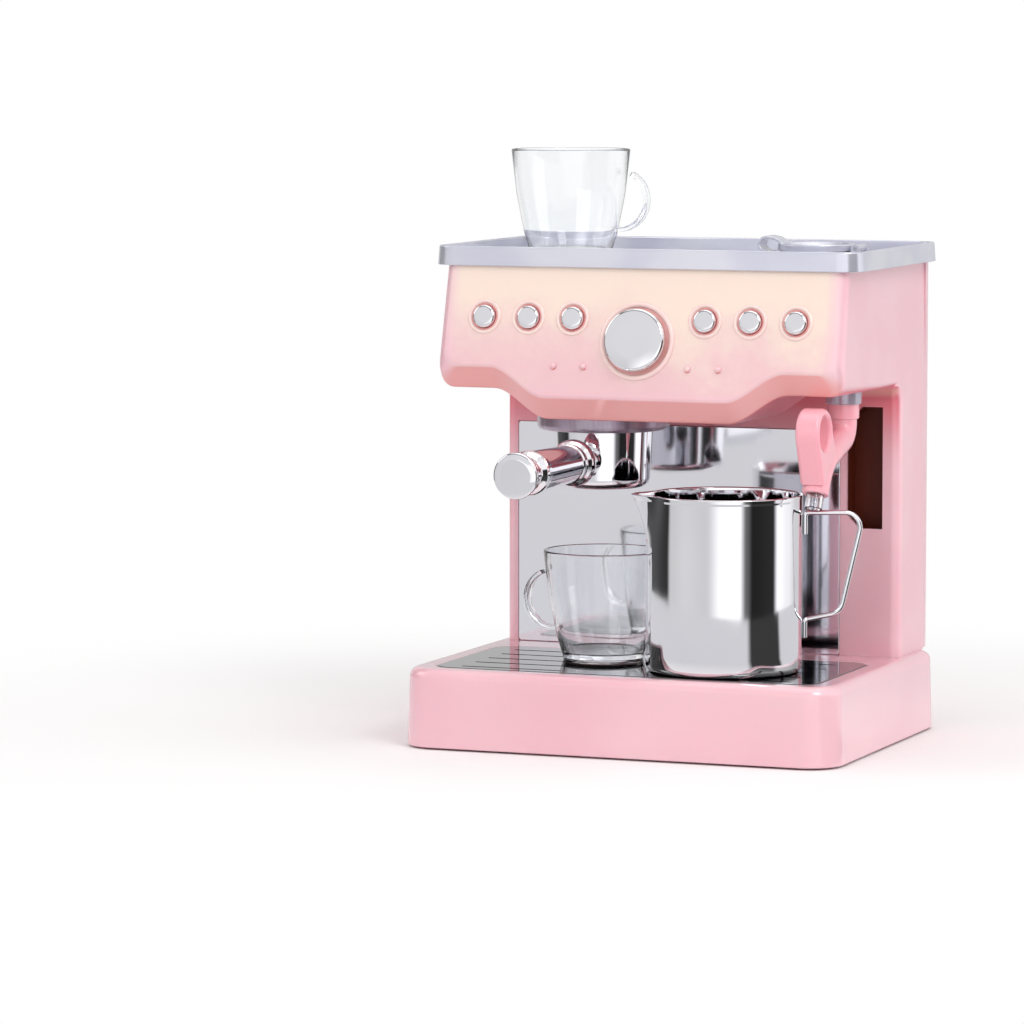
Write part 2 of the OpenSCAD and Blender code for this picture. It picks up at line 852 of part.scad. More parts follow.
// Places a child at a point of the handle's plane
module in_handle_plane(p) {
    translate([p[0], 0, p[1]]) rotate([90, 0, 0]) children();
}

module wire_run(a, b) {
    d = b - a;
    in_handle_plane(a)
        rotate(atan2(d[1], d[0])) rotate([0, 90, 0])
            translate([0, 0, -0.2]) cylinder(r = wire_r + 0.02, h = norm(d) + 0.4);
}

// A bend of the wire about a centre, from one angle and through another
module wire_bend(centre, from, turn) {
    in_handle_plane(centre)
        rotate(from) rotate_extrude(angle = turn) translate([outer_bend_r, 0]) circle(wire_r);
}

// The bends' centres, and the ends of the straight runs between them
top_bend = [handle_out - outer_bend_r, handle_top - outer_bend_r];
outer_dir = [-sin(outer_lean), -cos(outer_lean)];
outer_out = [cos(outer_lean), -sin(outer_lean)];
outer_top = top_bend + outer_bend_r * outer_out;
outer_foot = outer_top + outer_l * outer_dir;
low_bend = outer_foot - outer_bend_r * outer_out;
low_end = low_bend + outer_bend_r * [sin(foot_slope), -cos(foot_slope)];
foot_z = low_end[1] - (low_end[0] - tab_x) * tan(foot_slope);

module pitcher_handle() {
    color("silver")
        at_pitcher()
            translate([pitcher_d / 2 - 0.16, 0, 0]) {
                wire_run([tab_x, handle_top - 12], [tab_x, handle_top]);
                wire_run([0.6, handle_top], [top_bend[0], handle_top]);
                wire_bend(top_bend, -outer_lean, 90 + outer_lean);
                wire_run(outer_top, outer_foot);
                wire_bend(low_bend, -90 + foot_slope, 90 - foot_slope - outer_lean);
                wire_run(low_end, [tab_x, foot_z]);
                wire_run([tab_x, foot_z + 0.8], [tab_x, foot_z - 10]);
            }
}

// ---------- cups ----------

module clear_cup() {
    r0 = cup_foot_d / 2;
    r1 = cup_d / 2;
    t = cup_wall;
    difference() {
        union() {
            rotate_extrude()
                polygon([[0, 0], [r0, 0], [r0 + 3.5, 12], [r0 + 8, 32], [r1, cup_h],
                         [r1 - t, cup_h], [r0 + 8 - t, 32], [r0 + 3.5 - t, 12],
                         [r0 - t, 4], [0, 4]]);
            difference() {
                translate([r0 + 7, 0, 33]) rotate([90, 0, 0])
                    difference() {
                        cylinder(r = 18, h = 7, center = true);
                        cylinder(r = 15.4, h = 9, center = true);
                    }
                rotate_extrude()
                    polygon([[0, -1], [r0 - 1, -1], [r0 + 2.5, 12], [r0 + 7, 32], [r1 - 1, cup_h],
                             [r1 - 1, cup_h + 1], [0, cup_h + 1]]);
            }
        }
        translate([0, 0, -1]) cylinder(r = r0 - 3, h = 2);
    }
}

module brew_cup() {
    color("white", 0.4)
        translate([-group_x, group_y, plate_top]) rotate(180) clear_cup();
}

module tray_cup() {
    color("white", 0.4)
        translate([tray_cup_x, tray_cup_y, tray_floor]) clear_cup();
}

// ---------- controls ----------

module button_at(i) {
    color("silver")
        on_panel(button_x[i], button_z) {
            translate([0, 0, -wall - 0.2]) cylinder(r = button_d / 2, h = wall + 0.2 + button_out - 1);
            translate([0, 0, button_out - 1])
                cylinder(r1 = button_d / 2, r2 = button_d / 2 - 0.9, h = 1);
            translate([0, 0, -wall - 1.6]) cylinder(r = button_flange_r, h = 1.4);
            translate([0, 0, -6]) cylinder(r = 2, h = 3);
        }
}

module button_1() { button_at(2); }
module button_2() { button_at(1); }
module button_3() { button_at(0); }
module button_4() { button_at(3); }
module button_5() { button_at(4); }
module button_6() { button_at(5); }

module keypad_membrane() {
    color("gray")
        for (s = [-1, 1])
            on_panel(s * (39 + button_pitch), button_z) {
                difference() {
                    translate([-36, -10, -10.8]) cube([72, 20, 1.3]);
                    for (i = [-1 : 1]) translate([i * button_pitch, 0, -12]) cylinder(r = 2.5, h = 1.6);
                }
                for (i = [-1 : 1])
                    translate([i * button_pitch, 0, -9.6]) cylinder(r = 4, h = 1.5);
            }
}

module switch_board() {
    color("seagreen")
        difference() {
            on_panel(0, button_z) translate([-112, -26, -board_back]) cube([224, 38, 1.6]);
            on_panel(0, dial_z) translate([0, 0, -20]) cylinder(r = 3.5, h = 20);
        }
}

module dial_encoder() {
    color("dimgray")
        on_panel(0, dial_z)
            difference() {
                translate([-7, -7, -board_back + 1.7]) cube([14, 14, 5]);
                translate([0, 0, -board_back]) cylinder(r = 3.05, h = 10);
            }
}

module dial() {
    r = dial_d / 2;
    color("silver")
        on_panel(0, dial_z)
            rotate_extrude()
                polygon([[0, -board_back], [3, -board_back], [3, 1.4], [r, 1.4], [r, dial_out - 1.6],
                         [r - 0.6, dial_out - 0.6], [r - 2.2, dial_out], [r - 4, dial_out + 0.3],
                         [0, dial_out + 0.6]]);
}

// ---------- lid ----------

module tank_lid() {
    color("lightsteelblue")
        difference() {
            union() {
                translate([lid_x, lid_y, lid_z]) cylinder(r = lid_r, h = 2);
                translate([lid_x, lid_y, 0]) ring(lid_r, lid_r - 2.4, lid_z + 1, lid_z + 4);
                translate([lid_x, lid_y, 0]) ring(lid_r - 3.9, lid_r - 4.8, lid_z - 3, lid_z + 1);
                // arm to the hinge
                translate([lid_x + lid_r - 3, lid_y - 4.8, lid_z])
                    cube([6, 9.6, 3.2]);
                translate([lid_pin_x, lid_y + 4.8, lid_pin_z]) rotate([90, 0, 0])
                    cylinder(r = 2.6, h = 9.6);
                // curled finger tab
                translate([lid_x - lid_r - 4, lid_y + 7, lid_z + 3.4]) rotate([90, 0, 0])
                    difference() {
                        cylinder(r = 4.6, h = 14);
                        translate([0, 0, -1]) cylinder(r = 2.8, h = 16);
                        translate([0, -1.6, -1]) cube([10, 2.4, 16]);
                    }
                translate([lid_x - lid_r - 4, lid_y - 7, lid_z + 6.2]) cube([9, 14, 1.8]);
            }
            translate([lid_pin_x, lid_y + 20, lid_pin_z]) rotate([90, 0, 0])
                cylinder(r = lid_pin_r + 0.05, h = 40);
        }
}

module lid_seal() {
    color("white") translate([lid_x, lid_y, 0]) ring(lid_r - 3.3, lid_r - 3.9, lid_z - 2.2, lid_z - 1);
}

module lid_pin() {
    color("silver")
        translate([lid_pin_x, lid_y + 8, lid_pin_z]) rotate([90, 0, 0])
            cylinder(r = lid_pin_r, h = 16);
}

// ---------- inside ----------

module main_board() {
    color("seagreen")
        translate([-90, column_front_y + 10.5, 60]) cube([80, 1.6, 80]);
}

module speaker() {
    color("dimgray")
        translate([speaker_x, cover_back_y - wall - 0.1, speaker_z]) rotate([90, 0, 0]) {
            cylinder(r = 18, h = 3);
            translate([0, 0, 3]) cylinder(r1 = 16, r2 = 8, h = 5);
            translate([0, 0, 8]) cylinder(r = 9, h = 4);
        }
}

base_shell();
base_pan();
rubber_feet();
drip_plate();
battery_door();
door_screw();
batteries();
battery_contacts();
body_housing();
rear_cover();
rear_screws();
base_screws();
mirror_panel();
window_liner();
cup_tray();
water_tank();
mist_seal();
mist_disc();
mist_duct();
wand_socket();
group_head();
shower_screen();
main_board();
speaker();
switch_board();
keypad_membrane();
dial_encoder();
dial();
button_1();
button_2();
button_3();
button_4();
button_5();
button_6();
tank_lid();
lid_seal();
lid_pin();
portafilter_basket();
portafilter_handle();
wand_pipe();
wand_tube();
pitcher_body();
pitcher_handle();
brew_cup();
tray_cup();
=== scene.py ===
from math import cos, degrees, hypot, pi, radians, sin, sqrt, tan

import bmesh
import bpy
from mathutils import Matrix, Vector


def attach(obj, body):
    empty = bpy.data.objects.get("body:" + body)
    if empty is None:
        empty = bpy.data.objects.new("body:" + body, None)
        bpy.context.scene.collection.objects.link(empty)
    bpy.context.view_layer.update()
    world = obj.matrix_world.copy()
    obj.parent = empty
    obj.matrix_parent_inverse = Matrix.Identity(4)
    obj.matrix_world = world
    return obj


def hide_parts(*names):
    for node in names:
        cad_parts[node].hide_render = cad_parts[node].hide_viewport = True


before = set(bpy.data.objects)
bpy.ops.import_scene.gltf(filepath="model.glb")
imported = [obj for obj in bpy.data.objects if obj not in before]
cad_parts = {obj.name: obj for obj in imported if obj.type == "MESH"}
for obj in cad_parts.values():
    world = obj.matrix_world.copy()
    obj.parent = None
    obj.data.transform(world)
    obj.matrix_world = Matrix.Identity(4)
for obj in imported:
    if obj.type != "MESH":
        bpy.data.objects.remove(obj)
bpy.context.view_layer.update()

MM = 0.001

# ---------------------------------------------------------------- studio
# A pale floor, a soft white room and five large lamps. What the chrome pieces mirror of the
# room has broad dark flags and bright cards in it, so that they have something to show.


def show(name, data):
    """A new object in the scene."""
    made = bpy.data.objects.new(name, data)
    bpy.context.collection.objects.link(made)
    return made


camera = show("camera", bpy.data.cameras.new("camera"))
camera.location = (0.9891, -2.7606, 0.4093)
camera.rotation_euler = (radians(84.52), 0, radians(21.5))
camera.data.lens = 182.8
camera.data.clip_start = 0.05
camera.data.clip_end = 60
bpy.context.scene.camera = camera
bpy.context.scene.view_settings.view_transform = "Standard"


def linear(*screen):
    """A paint colour given as 0 to 255 on screen, in the renderer's linear units."""
    return tuple(c / 3294.6 if c < 10.3 else ((c / 255 + 0.055) / 1.055) ** 2.4 for c in screen) + (1,)


class Signal:
    """A node's output that can be reckoned with like a number."""

    def __init__(self, socket):
        self.socket = socket

    def __add__(self, other):
        return maths("ADD", self, other)

    def __sub__(self, other):
        return maths("SUBTRACT", self, other)

    def __rsub__(self, other):
        return maths("SUBTRACT", other, self)

    def __mul__(self, other):
        return maths("MULTIPLY", self, other)

    def __neg__(self):
        return maths("MULTIPLY", self, -1.0)

    def __abs__(self):
        return maths("ABSOLUTE", self)

    def step(self, low, high):
        """Smooth ramp from 0 at low to 1 at high."""
        return Signal(node(self.socket.id_data, "ShaderNodeMapRange", {0: self, 1: low, 2: high},
                           interpolation_type="SMOOTHSTEP").outputs[0])


def feed(socket, value):
    """Joins a node or a signal to an input, or sets the input to a plain value."""
    if isinstance(value, Signal):
        value = value.socket
    elif isinstance(value, bpy.types.Node):
        value = value.outputs[0]
    if isinstance(value, bpy.types.NodeSocket):
        socket.id_data.links.new(value, socket)
    else:
        socket.default_value = value


def node(tree, kind, inputs={}, **settings):
    """A new node, with its inputs given by number or label."""
    made = tree.nodes.new(kind)
    for name, value in settings.items():
        setattr(made, name, value)
    for key, value in inputs.items():
        feed(made.inputs[key], value)
    return made


def maths(operation, *values):
    tree = next(value.socket.id_data for value in values if isinstance(value, Signal))
    return Signal(node(tree, "ShaderNodeMath", dict(enumerate(values)), operation=operation).outputs[0])


def mixed(factor, first, second):
    """The first colour where the factor is 0, and the second where it is 1."""
    return node(factor.socket.id_data, "ShaderNodeMix", {0: factor, 6: first, 7: second},
                data_type="RGBA").outputs[2]


def place_in(tree, kind="Object"):
    """X, Y and Z of a kind of coordinate."""
    source = node(tree, "ShaderNodeTexCoord").outputs[kind]
    return [Signal(part) for part in node(tree, "ShaderNodeSeparateXYZ", {0: source}).outputs]


def ray_kinds(tree):
    """1 for what the camera sees, through clear pieces too, and 1 for what a piece mirrors."""
    rays = node(tree, "ShaderNodeLightPath").outputs
    return (maths("MAXIMUM", Signal(rays["Is Camera Ray"]), Signal(rays["Is Transmission Ray"])),
            Signal(rays["Is Glossy Ray"]))


def light(tree, kind, colour, strength=1.0):
    return node(tree, kind, {0: colour, 1: strength})


def blend(tree, factor, first, second):
    return node(tree, "ShaderNodeMixShader", {0: factor, 1: first, 2: second})


ROOM_LIGHT = 0.57
room = bpy.data.worlds.new("room")
bpy.context.scene.world = room
room.use_nodes = True
sky = room.node_tree
sky.nodes.clear()
east, north, height = place_in(sky, "Generated")
heading = maths("ARCTAN2", east, -north) * (180 / pi)


def wall_greys(*stops):
    """Greys round the room by heading in degrees: 0 is before the machine, 90 at its right."""
    ramp = node(sky, "ShaderNodeValToRGB", {0: heading * (1 / 360) + 0.5})
    stages = ramp.color_ramp.elements
    ramp.color_ramp.interpolation = "EASE"
    for angle, grey in stops:
        stages.new(angle / 360 + 0.5).color = (grey, grey, grey * 1.01, 1)
    stages.remove(stages[0])
    stages.remove(stages[-1])
    return ramp


low_wall = wall_greys(
    (-178, 0.60), (-128, 0.75), (-112, 0.10), (-74, 0.04), (-66, 0.72), (-40, 0.80), (-8, 0.74), (18, 1.35),
    (40, 1.45), (52, 0.16), (62, 0.02), (96, 0.03), (106, 1.3), (128, 1.1), (150, 0.75), (178, 0.70))
high_wall = wall_greys(
    (-178, 0.70), (-140, 0.80), (-118, 0.22), (-72, 0.18), (-58, 0.80), (0, 0.90), (44, 0.85), (56, 1.15),
    (128, 1.15), (146, 0.75), (178, 0.70))
strip = wall_greys((-178, 0.50), (-120, 0.20), (8, 0.16), (26, 1.0), (120, 1.1), (150, 0.60), (178, 0.50))
card = heading.step(-23.0, -15.5) * height.step(-0.02, 0.04) * (1 - heading.step(20.0, 45.0))
low_part = mixed(card, low_wall, (1.35, 1.35, 1.36, 1))
walls = mixed(height.step(0.17, 0.30), low_part, high_wall)
over_eyes = mixed(height.step(0.50, 0.56) * (1 - height.step(0.70, 0.76)), walls, strip)
ceiling = mixed(height.step(0.74, 0.86), over_eyes, (0.95, 0.95, 0.96, 1))
seen, mirrored = ray_kinds(sky)
lit = blend(sky, mirrored, light(sky, "ShaderNodeBackground", (1.0, 0.985, 0.98, 1), ROOM_LIGHT),
            light(sky, "ShaderNodeBackground", Signal(ceiling)))
node(sky, "ShaderNodeOutputWorld", {
    0: blend(sky, seen, lit, light(sky, "ShaderNodeBackground", (1, 1, 1, 1)))})

for lamp_name, spot, size, power, is_mirrored in (
        ("window_right", (1.5, -1.25, 1.85), 1.0, 19, True),
        ("window_left", (-2.1, -0.5, 1.5), 1.3, 9, True),
        ("front", (-0.5, -2.3, 1.5), 1.6, 12, False),
        ("side", (2.3, 0.35, 0.9), 1.4, 9, False),
        ("overhead", (0.1, 0.2, 2.2), 1.5, 9, True)):
    lamp = show(lamp_name, bpy.data.lights.new(lamp_name, "AREA"))
    lamp.data.size = size
    lamp.data.energy = power
    lamp.location = spot
    lamp.rotation_euler = (Vector((0, 0, 0.12)) - Vector(spot)).to_track_quat("-Z", "Y").to_euler()
    lamp.visible_glossy = is_mirrored

FLOOR_R = 0.78
floor_ring = [(FLOOR_R * cos(radians(a)), FLOOR_R * sin(radians(a)), -0.0002) for a in range(0, 360, 4)]
floor_mesh = bpy.data.meshes.new("floor")
floor_mesh.from_pydata(floor_ring, [], [tuple(range(len(floor_ring)))])
floor_paper = bpy.data.materials.new("floor_paper")
floor_paper.use_nodes = True
paper = floor_paper.node_tree
paper.nodes.clear()
east, north, height = place_in(paper)
away = maths("SQRT", east * east + north * north)
bearing = maths("ARCTAN2", east, -north)
dark_band = bearing.step(radians(50), radians(58)) * (1 - bearing.step(radians(97), radians(104)))
seen, mirrored = ray_kinds(paper)
sheet = blend(paper, away.step(0.20, 0.62) * seen,
              node(paper, "ShaderNodeBsdfDiffuse", {0: linear(246, 245, 245)}),
              light(paper, "ShaderNodeEmission", (1, 1, 1, 1)))
grey = mixed(dark_band, (0.76, 0.76, 0.78, 1), (0.05, 0.05, 0.05, 1))
node(paper, "ShaderNodeOutputMaterial", {0: blend(
    paper, maths("MAXIMUM", away.step(0.16, 0.45), dark_band * away.step(0.15, 0.19)) * mirrored, sheet,
    light(paper, "ShaderNodeEmission", Signal(grey)))})
floor_mesh.materials.append(floor_paper)
floor = show("floor", floor_mesh)

# ---------------------------------------------------------------- base
# The wide foot of the machine, one glossy pink moulding with a soft top edge and a
# rectangular well for the drip plate. It is open underneath and closed by a screwed pan.

BASE_W, BASE_D, BASE_H = 256, 202, 45
BASE_CORNER, BASE_DRAFT, BASE_EDGE = 20, 1.2, 5.6
WALL = 2.5
PLATE_W, PLATE_D, PLATE_Y0, PLATE_R = 225, 105.5, -87.7, 12
PLATE_TOP, PLATE_T, PLATE_GAP = 45.1, 3, 0.35


def at(x, y, z):
    return Matrix.Translation((x, y, z))


def turn(angle, axis):
    return Matrix.Rotation(angle, 4, axis)


def quarter(steps):
    """Pairs of 1 - cosine and sine from 0 to 90 degrees, for edges that are rounded off."""
    angles = [radians(90 * i / steps) for i in range(steps + 1)]
    return [(1 - cos(a), sin(a)) for a in angles]


def rounded_line(corners, steps=5):
    """Outline through (x, y, radius) corners, with each corner turned by an arc."""
    line = []
    for k, (x, y, r) in enumerate(corners):
        p = Vector((x, y))
        if r == 0 or k in (0, len(corners) - 1):
            line.append(p)
            continue
        back = Vector(corners[k - 1][:2]) - p
        on = Vector(corners[k + 1][:2]) - p
        half = back.angle(on) / 2
        cut = min(r / tan(half), back.length * 0.49, on.length * 0.49)
        centre = p + (back.normalized() + on.normalized()).normalized() * (cut * tan(half) / sin(half))
        a, b = p + back.normalized() * cut - centre, p + on.normalized() * cut - centre
        bend = a.angle(b)
        for i in range(steps + 1):
            t = i / steps
            line.append(centre + (a * sin((1 - t) * bend) + b * sin(t * bend)) / sin(bend))
    return line


def corner_loop(w, d, r, z, centre_y=0, steps=10):
    """Level rounded rectangle at one height."""
    loop = []
    for number, (sx, sy) in enumerate(((1, 1), (-1, 1), (-1, -1), (1, -1))):
        for i in range(steps + 1):
            a = radians(90 * (number + i / steps))
            loop.append(Vector((sx * (w / 2 - r) + r * cos(a), centre_y + sy * (d / 2 - r) + r * sin(a), z)))
    return loop


def finish_mesh(mesh, crease=30):
    """Faces outwards, smooth shading that breaks at real edges."""
    work = bmesh.new()
    work.from_mesh(mesh)
    bmesh.ops.remove_doubles(work, verts=work.verts, dist=1e-6)
    bmesh.ops.recalc_face_normals(work, faces=work.faces)
    work.to_mesh(mesh)
    work.free()
    mesh.shade_smooth()
    mesh.set_sharp_from_angle(angle=radians(crease))


def piece(name, verts, faces, crease=30):
    """A new object from points in millimetres."""
    mesh = bpy.data.meshes.new(name)
    mesh.from_pydata([Vector(v) * MM for v in verts], [], faces)
    if faces:
        finish_mesh(mesh, crease)
    return show(name, mesh)


def lofted(name, loops, closed_end=True, crease=30):
    """Skin through loops of equal length. Both ends are capped, or the last joins the first."""
    n, m = len(loops[0]), len(loops)
    faces = []
    for k in range(m - 1 if closed_end else m):
        low, high = k * n, ((k + 1) % m) * n
        faces += [(low + i, low + (i + 1) % n, high + (i + 1) % n, high + i) for i in range(n)]
    if closed_end:
        faces += [tuple(reversed(range(n))), tuple(range((m - 1) * n, m * n))]
    return piece(name, [p for loop in loops for p in loop], faces, crease)


def remove(made):
    mesh = made.data
    bpy.data.objects.remove(made)
    bpy.data.meshes.remove(mesh)


def applied(made):
    """Swaps an object's mesh for what its modifiers make of it."""
    bpy.context.view_layer.update()
    mesh = bpy.data.meshes.new_from_object(made.evaluated_get(bpy.context.evaluated_depsgraph_get()))
    made.modifiers.clear()
    old, made.data = made.data, mesh
    bpy.data.meshes.remove(old)


def settled(made):
    """Shading that follows the large faces, so that cut edges leave no dents in it."""
    made.modifiers.new("even", "WEIGHTED_NORMAL").keep_sharp = True
    applied(made)


def noise(tree, scale, detail=2.0, rough=0.5, point=None):
    point = point or node(tree, "ShaderNodeTexCoord").outputs["Object"]
    return Signal(node(tree, "ShaderNodeTexNoise", {
        "Vector": point, "Scale": scale, "Detail": detail, "Roughness": rough}).outputs["Fac"])


def surface_group(name, labels, output, build):
    """A shader node group with one output, which build works out from the inputs."""
    group = bpy.data.node_groups.new(name, "ShaderNodeTree")
    for label in labels:
        group.interface.new_socket(label, in_out="INPUT", socket_type="NodeSocketFloat")
    group.interface.new_socket(output, in_out="OUTPUT", socket_type="NodeSocketFloat")
    entry = [Signal(socket) for socket in group.nodes.new("NodeGroupInput").outputs[:len(labels)]]
    node(group, "NodeGroupOutput", {0: build(group, *entry)})
    return group


# Slow waves of a moulding's sink marks under the fine peel of its polished skin.
moulded_skin = surface_group(
    "moulded_skin", ("Sink scale", "Sink depth", "Peel depth"), "Height",
    lambda tree, scale, depth, peel: noise(tree, scale, 1.0) * depth + noise(tree, 700.0, 1.0) * peel)

# Faint smears and wipe marks left by hands, as a roughness.
handled = surface_group(
    "handled", ("Clean", "Smear", "Smear scale"), "Roughness",
    lambda tree, clean, smear, scale: clean + smear * (
        noise(tree, scale, 1.2, 0.4).step(0.40, 0.80) * noise(tree, 14.0, 1.0).step(0.38, 0.72)))


def pattern(tree, recipe):
    """A noise of (scale, detail), stepped where (low, high) follow, or what a function makes."""
    if callable(recipe):
        return recipe(tree)
    made = noise(tree, *recipe[:2])
    return made.step(*recipe[2:]) if len(recipe) > 2 else made


def surface(name, first, second, grain=(9.0, 1.5, 0.35, 0.68), marks=None, skin=(22.0, 0.6, 0.008),
            relief=(0.25, 0.0004), coat=0.0, **sockets):
    """A material in two tones that the grain mixes. Marks are its clean roughness, what smears add
    and their scale. Skin is its sink marks' scale and depth and its peel, or a plain pattern."""
    made = bpy.data.materials.new(name)
    made.use_nodes = True
    tree = made.node_tree
    values = {"Base Color": mixed(pattern(tree, grain), linear(*first), linear(*second)),
              "Coat Weight": coat, "Coat Roughness": 0.08}
    if marks:
        values["Roughness"] = node(tree, "ShaderNodeGroup", dict(enumerate((marks + (60.0,))[:3])),
                                   node_tree=handled)
    if skin:
        height = pattern(tree, skin) if callable(skin) or len(skin) == 2 else node(
            tree, "ShaderNodeGroup", dict(enumerate(skin)), node_tree=moulded_skin)
        values["Normal"] = node(tree, "ShaderNodeBump", {
            "Strength": relief[0], "Distance": relief[1], "Height": height})
    values.update({label.replace("_", " "): value for label, value in sockets.items()})
    for label, value in values.items():
        feed(shader_of(made).inputs[label], value)
    return made


def shader_of(finish):
    return finish.node_tree.nodes["Principled BSDF"]


def mount(made, finish, body, stands_for=None, name=None):
    """Gives a piece its finish and its name, and puts it on its body."""
    made.name = name or made.name
    made.data.materials.clear()
    made.data.materials.append(finish)
    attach(made, body)
    if stands_for:
        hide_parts(stands_for)


FLESHY = {"Subsurface_Weight": 0.25, "Subsurface_Scale": 0.004, "Subsurface_Radius": (1.0, 0.35, 0.35)}
pink_gloss = surface("pink_gloss", (240, 188, 199), (244, 197, 206), marks=(0.19, 0.06), coat=0.9,
                     Coat_Roughness=0.05, **FLESHY)

base_profile = [(3.2, 1.0), (0.5, 1.0), (0.0, 1.6)]
base_profile += [(BASE_DRAFT * i / 10, 1.6 + (BASE_H - 1.6 - BASE_EDGE) * i / 10) for i in range(1, 11)]
base_profile += [(BASE_DRAFT + BASE_EDGE * fall, BASE_H - BASE_EDGE + BASE_EDGE * rise)
                 for fall, rise in quarter(10)[1:]]
base_loops = [corner_loop(BASE_W - 12, BASE_D - 12, BASE_CORNER - 6, BASE_H - 6.5),
              corner_loop(BASE_W - 12, BASE_D - 12, BASE_CORNER - 6, 3.6),
              corner_loop(BASE_W - 6, BASE_D - 6, BASE_CORNER - 3, 3.6)]
base_loops += [corner_loop(BASE_W - 2 * inset, BASE_D - 2 * inset, BASE_CORNER - 0.8 * inset, z)
               for inset, z in base_profile]
well_w, well_d = PLATE_W + 2 * PLATE_GAP, PLATE_D + 2 * PLATE_GAP
well_y = PLATE_Y0 + PLATE_D / 2
base_loops += [corner_loop(well_w + 2 * grow, well_d + 2 * grow, PLATE_R + grow, z, well_y) for grow, z in (
    (1.4, BASE_H), (0.7, BASE_H - 0.05), (0.2, BASE_H - 0.35), (0.0, BASE_H - 0.8), (0.0, PLATE_TOP - PLATE_T))]
base_moulding = lofted("base_moulding", base_loops)
settled(base_moulding)
mount(base_moulding, pink_gloss, "machine", "base_shell")

# ---------------------------------------------------------------- under the base
# The bottom pan with its battery bay, in the same pink left matt from the mould. It
# stands on four soft discs, and the door over the cells is held by one steel screw.

pan_pink = surface("pan_pink", (236, 172, 184), (241, 182, 192), marks=(0.46, 0.12), skin=(22.0, 1.0, 0.008))
rubber = surface("rubber", (72, 72, 76), (92, 92, 96), (60.0, 4.0), skin=(1600.0, 2.0),
                 relief=(0.35, 0.0002), Roughness=0.78)
steel = surface("plated_steel", (176, 178, 184), (206, 207, 212), (500.0, 3.0), (0.29, 0.12, 220.0), None,
                Metallic=1.0)
cell_sleeve = surface("cell_sleeve", (180, 140, 70), (60, 60, 64),
                      lambda tree: abs(place_in(tree)[0]).step(0.01, 0.012), skin=None,
                      Metallic=0.6, Roughness=0.3)


def dress(**finishes):
    """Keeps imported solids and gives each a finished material."""
    for node_name, finish in finishes.items():
        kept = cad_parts[node_name].data
        kept.materials.clear()
        kept.materials.append(finish)
        for face in kept.polygons:
            face.material_index = 0


dress(base_pan=pan_pink, battery_door=pan_pink, rubber_feet=rubber, batteries=cell_sleeve,
      battery_contacts=steel)

# ---------------------------------------------------------------- drip plate
# A separate black plate, moulded in high gloss and dropped into the well. Two groups of
# five slots run left and right of the middle.

SLOT_X0, SLOT_X1, SLOT_W = 38, 97, 2.6
SLOT_Y0, SLOT_PITCH, SLOT_ROWS = -79.2, 20, 5

black_gloss = surface("black_gloss", (14, 13, 16), (24, 22, 26), (30.0, 3.0), (0.045, 0.12, 45.0),
                      (16.0, 1.0, 0.01), (0.15, 0.0003), coat=0.6, Coat_Roughness=0.03,
                      Specular_IOR_Level=0.6)
plate_loops = [corner_loop(PLATE_W - 1, PLATE_D - 1, PLATE_R - 0.5, PLATE_TOP - PLATE_T, well_y),
               corner_loop(PLATE_W, PLATE_D, PLATE_R, PLATE_TOP - PLATE_T + 0.5, well_y)]
plate_loops += [corner_loop(PLATE_W - 1.4 * fall, PLATE_D - 1.4 * fall, PLATE_R - 0.7 * fall,
                            PLATE_TOP - 0.7 + 0.7 * rise, well_y) for fall, rise in quarter(5)]
plate_blank = lofted("drip_plate_blank", plate_loops)


def geometry_tree(name, inputs):
    """An empty geometry tree, and the sockets of its geometry and its named inputs."""
    tree = bpy.data.node_groups.new(name, "GeometryNodeTree")
    tree.interface.new_socket("Geometry", in_out="INPUT", socket_type="NodeSocketGeometry")
    for label, value in inputs.items():
        kind = "NodeSocketInt" if isinstance(value, int) else "NodeSocketFloat"
        tree.interface.new_socket(label, in_out="INPUT", socket_type=kind)
    tree.interface.new_socket("Geometry", in_out="OUTPUT", socket_type="NodeSocketGeometry")
    return tree, tree.nodes.new("NodeGroupInput").outputs


def vector(tree, x, y, z):
    return node(tree, "ShaderNodeCombineXYZ", {0: x, 1: y, 2: z})


def copies(tree, points, shape, aim=(0, 0, 0)):
    """A copy of a shape on each point, turned by the angles in aim."""
    return node(tree, "GeometryNodeInstanceOnPoints", {"Points": points, "Instance": shape, "Rotation": aim})


def joined(tree, parts):
    whole = node(tree, "GeometryNodeJoinGeometry")
    for part in parts:
        feed(whole.inputs[0], part)
    return whole


def cut_out(tree, solid, cutters):
    real = node(tree, "GeometryNodeRealizeInstances", {0: cutters})
    return node(tree, "GeometryNodeMeshBoolean", {"Mesh 1": solid, "Mesh 2": real},
                operation="DIFFERENCE", solver="EXACT")


def close_tree(tree, geometry, finish):
    """Ends a tree in real geometry with its material."""
    real = node(tree, "GeometryNodeRealizeInstances", {0: geometry})
    node(tree, "NodeGroupOutput", {0: node(tree, "GeometryNodeSetMaterial", {0: real, "Material": finish})})


def grown(name, seed, tree, values, crease=38):
    """Runs a geometry tree on an object and keeps the result as a plain mesh."""
    run = seed.modifiers.new("grow", "NODES")
    run.node_group = tree
    for item in tree.interface.items_tree:
        if item.in_out == "INPUT" and item.name in values:
            run[item.identifier] = values[item.name]
    applied(seed)
    seed.name = name
    finish_mesh(seed.data, crease)
    return seed


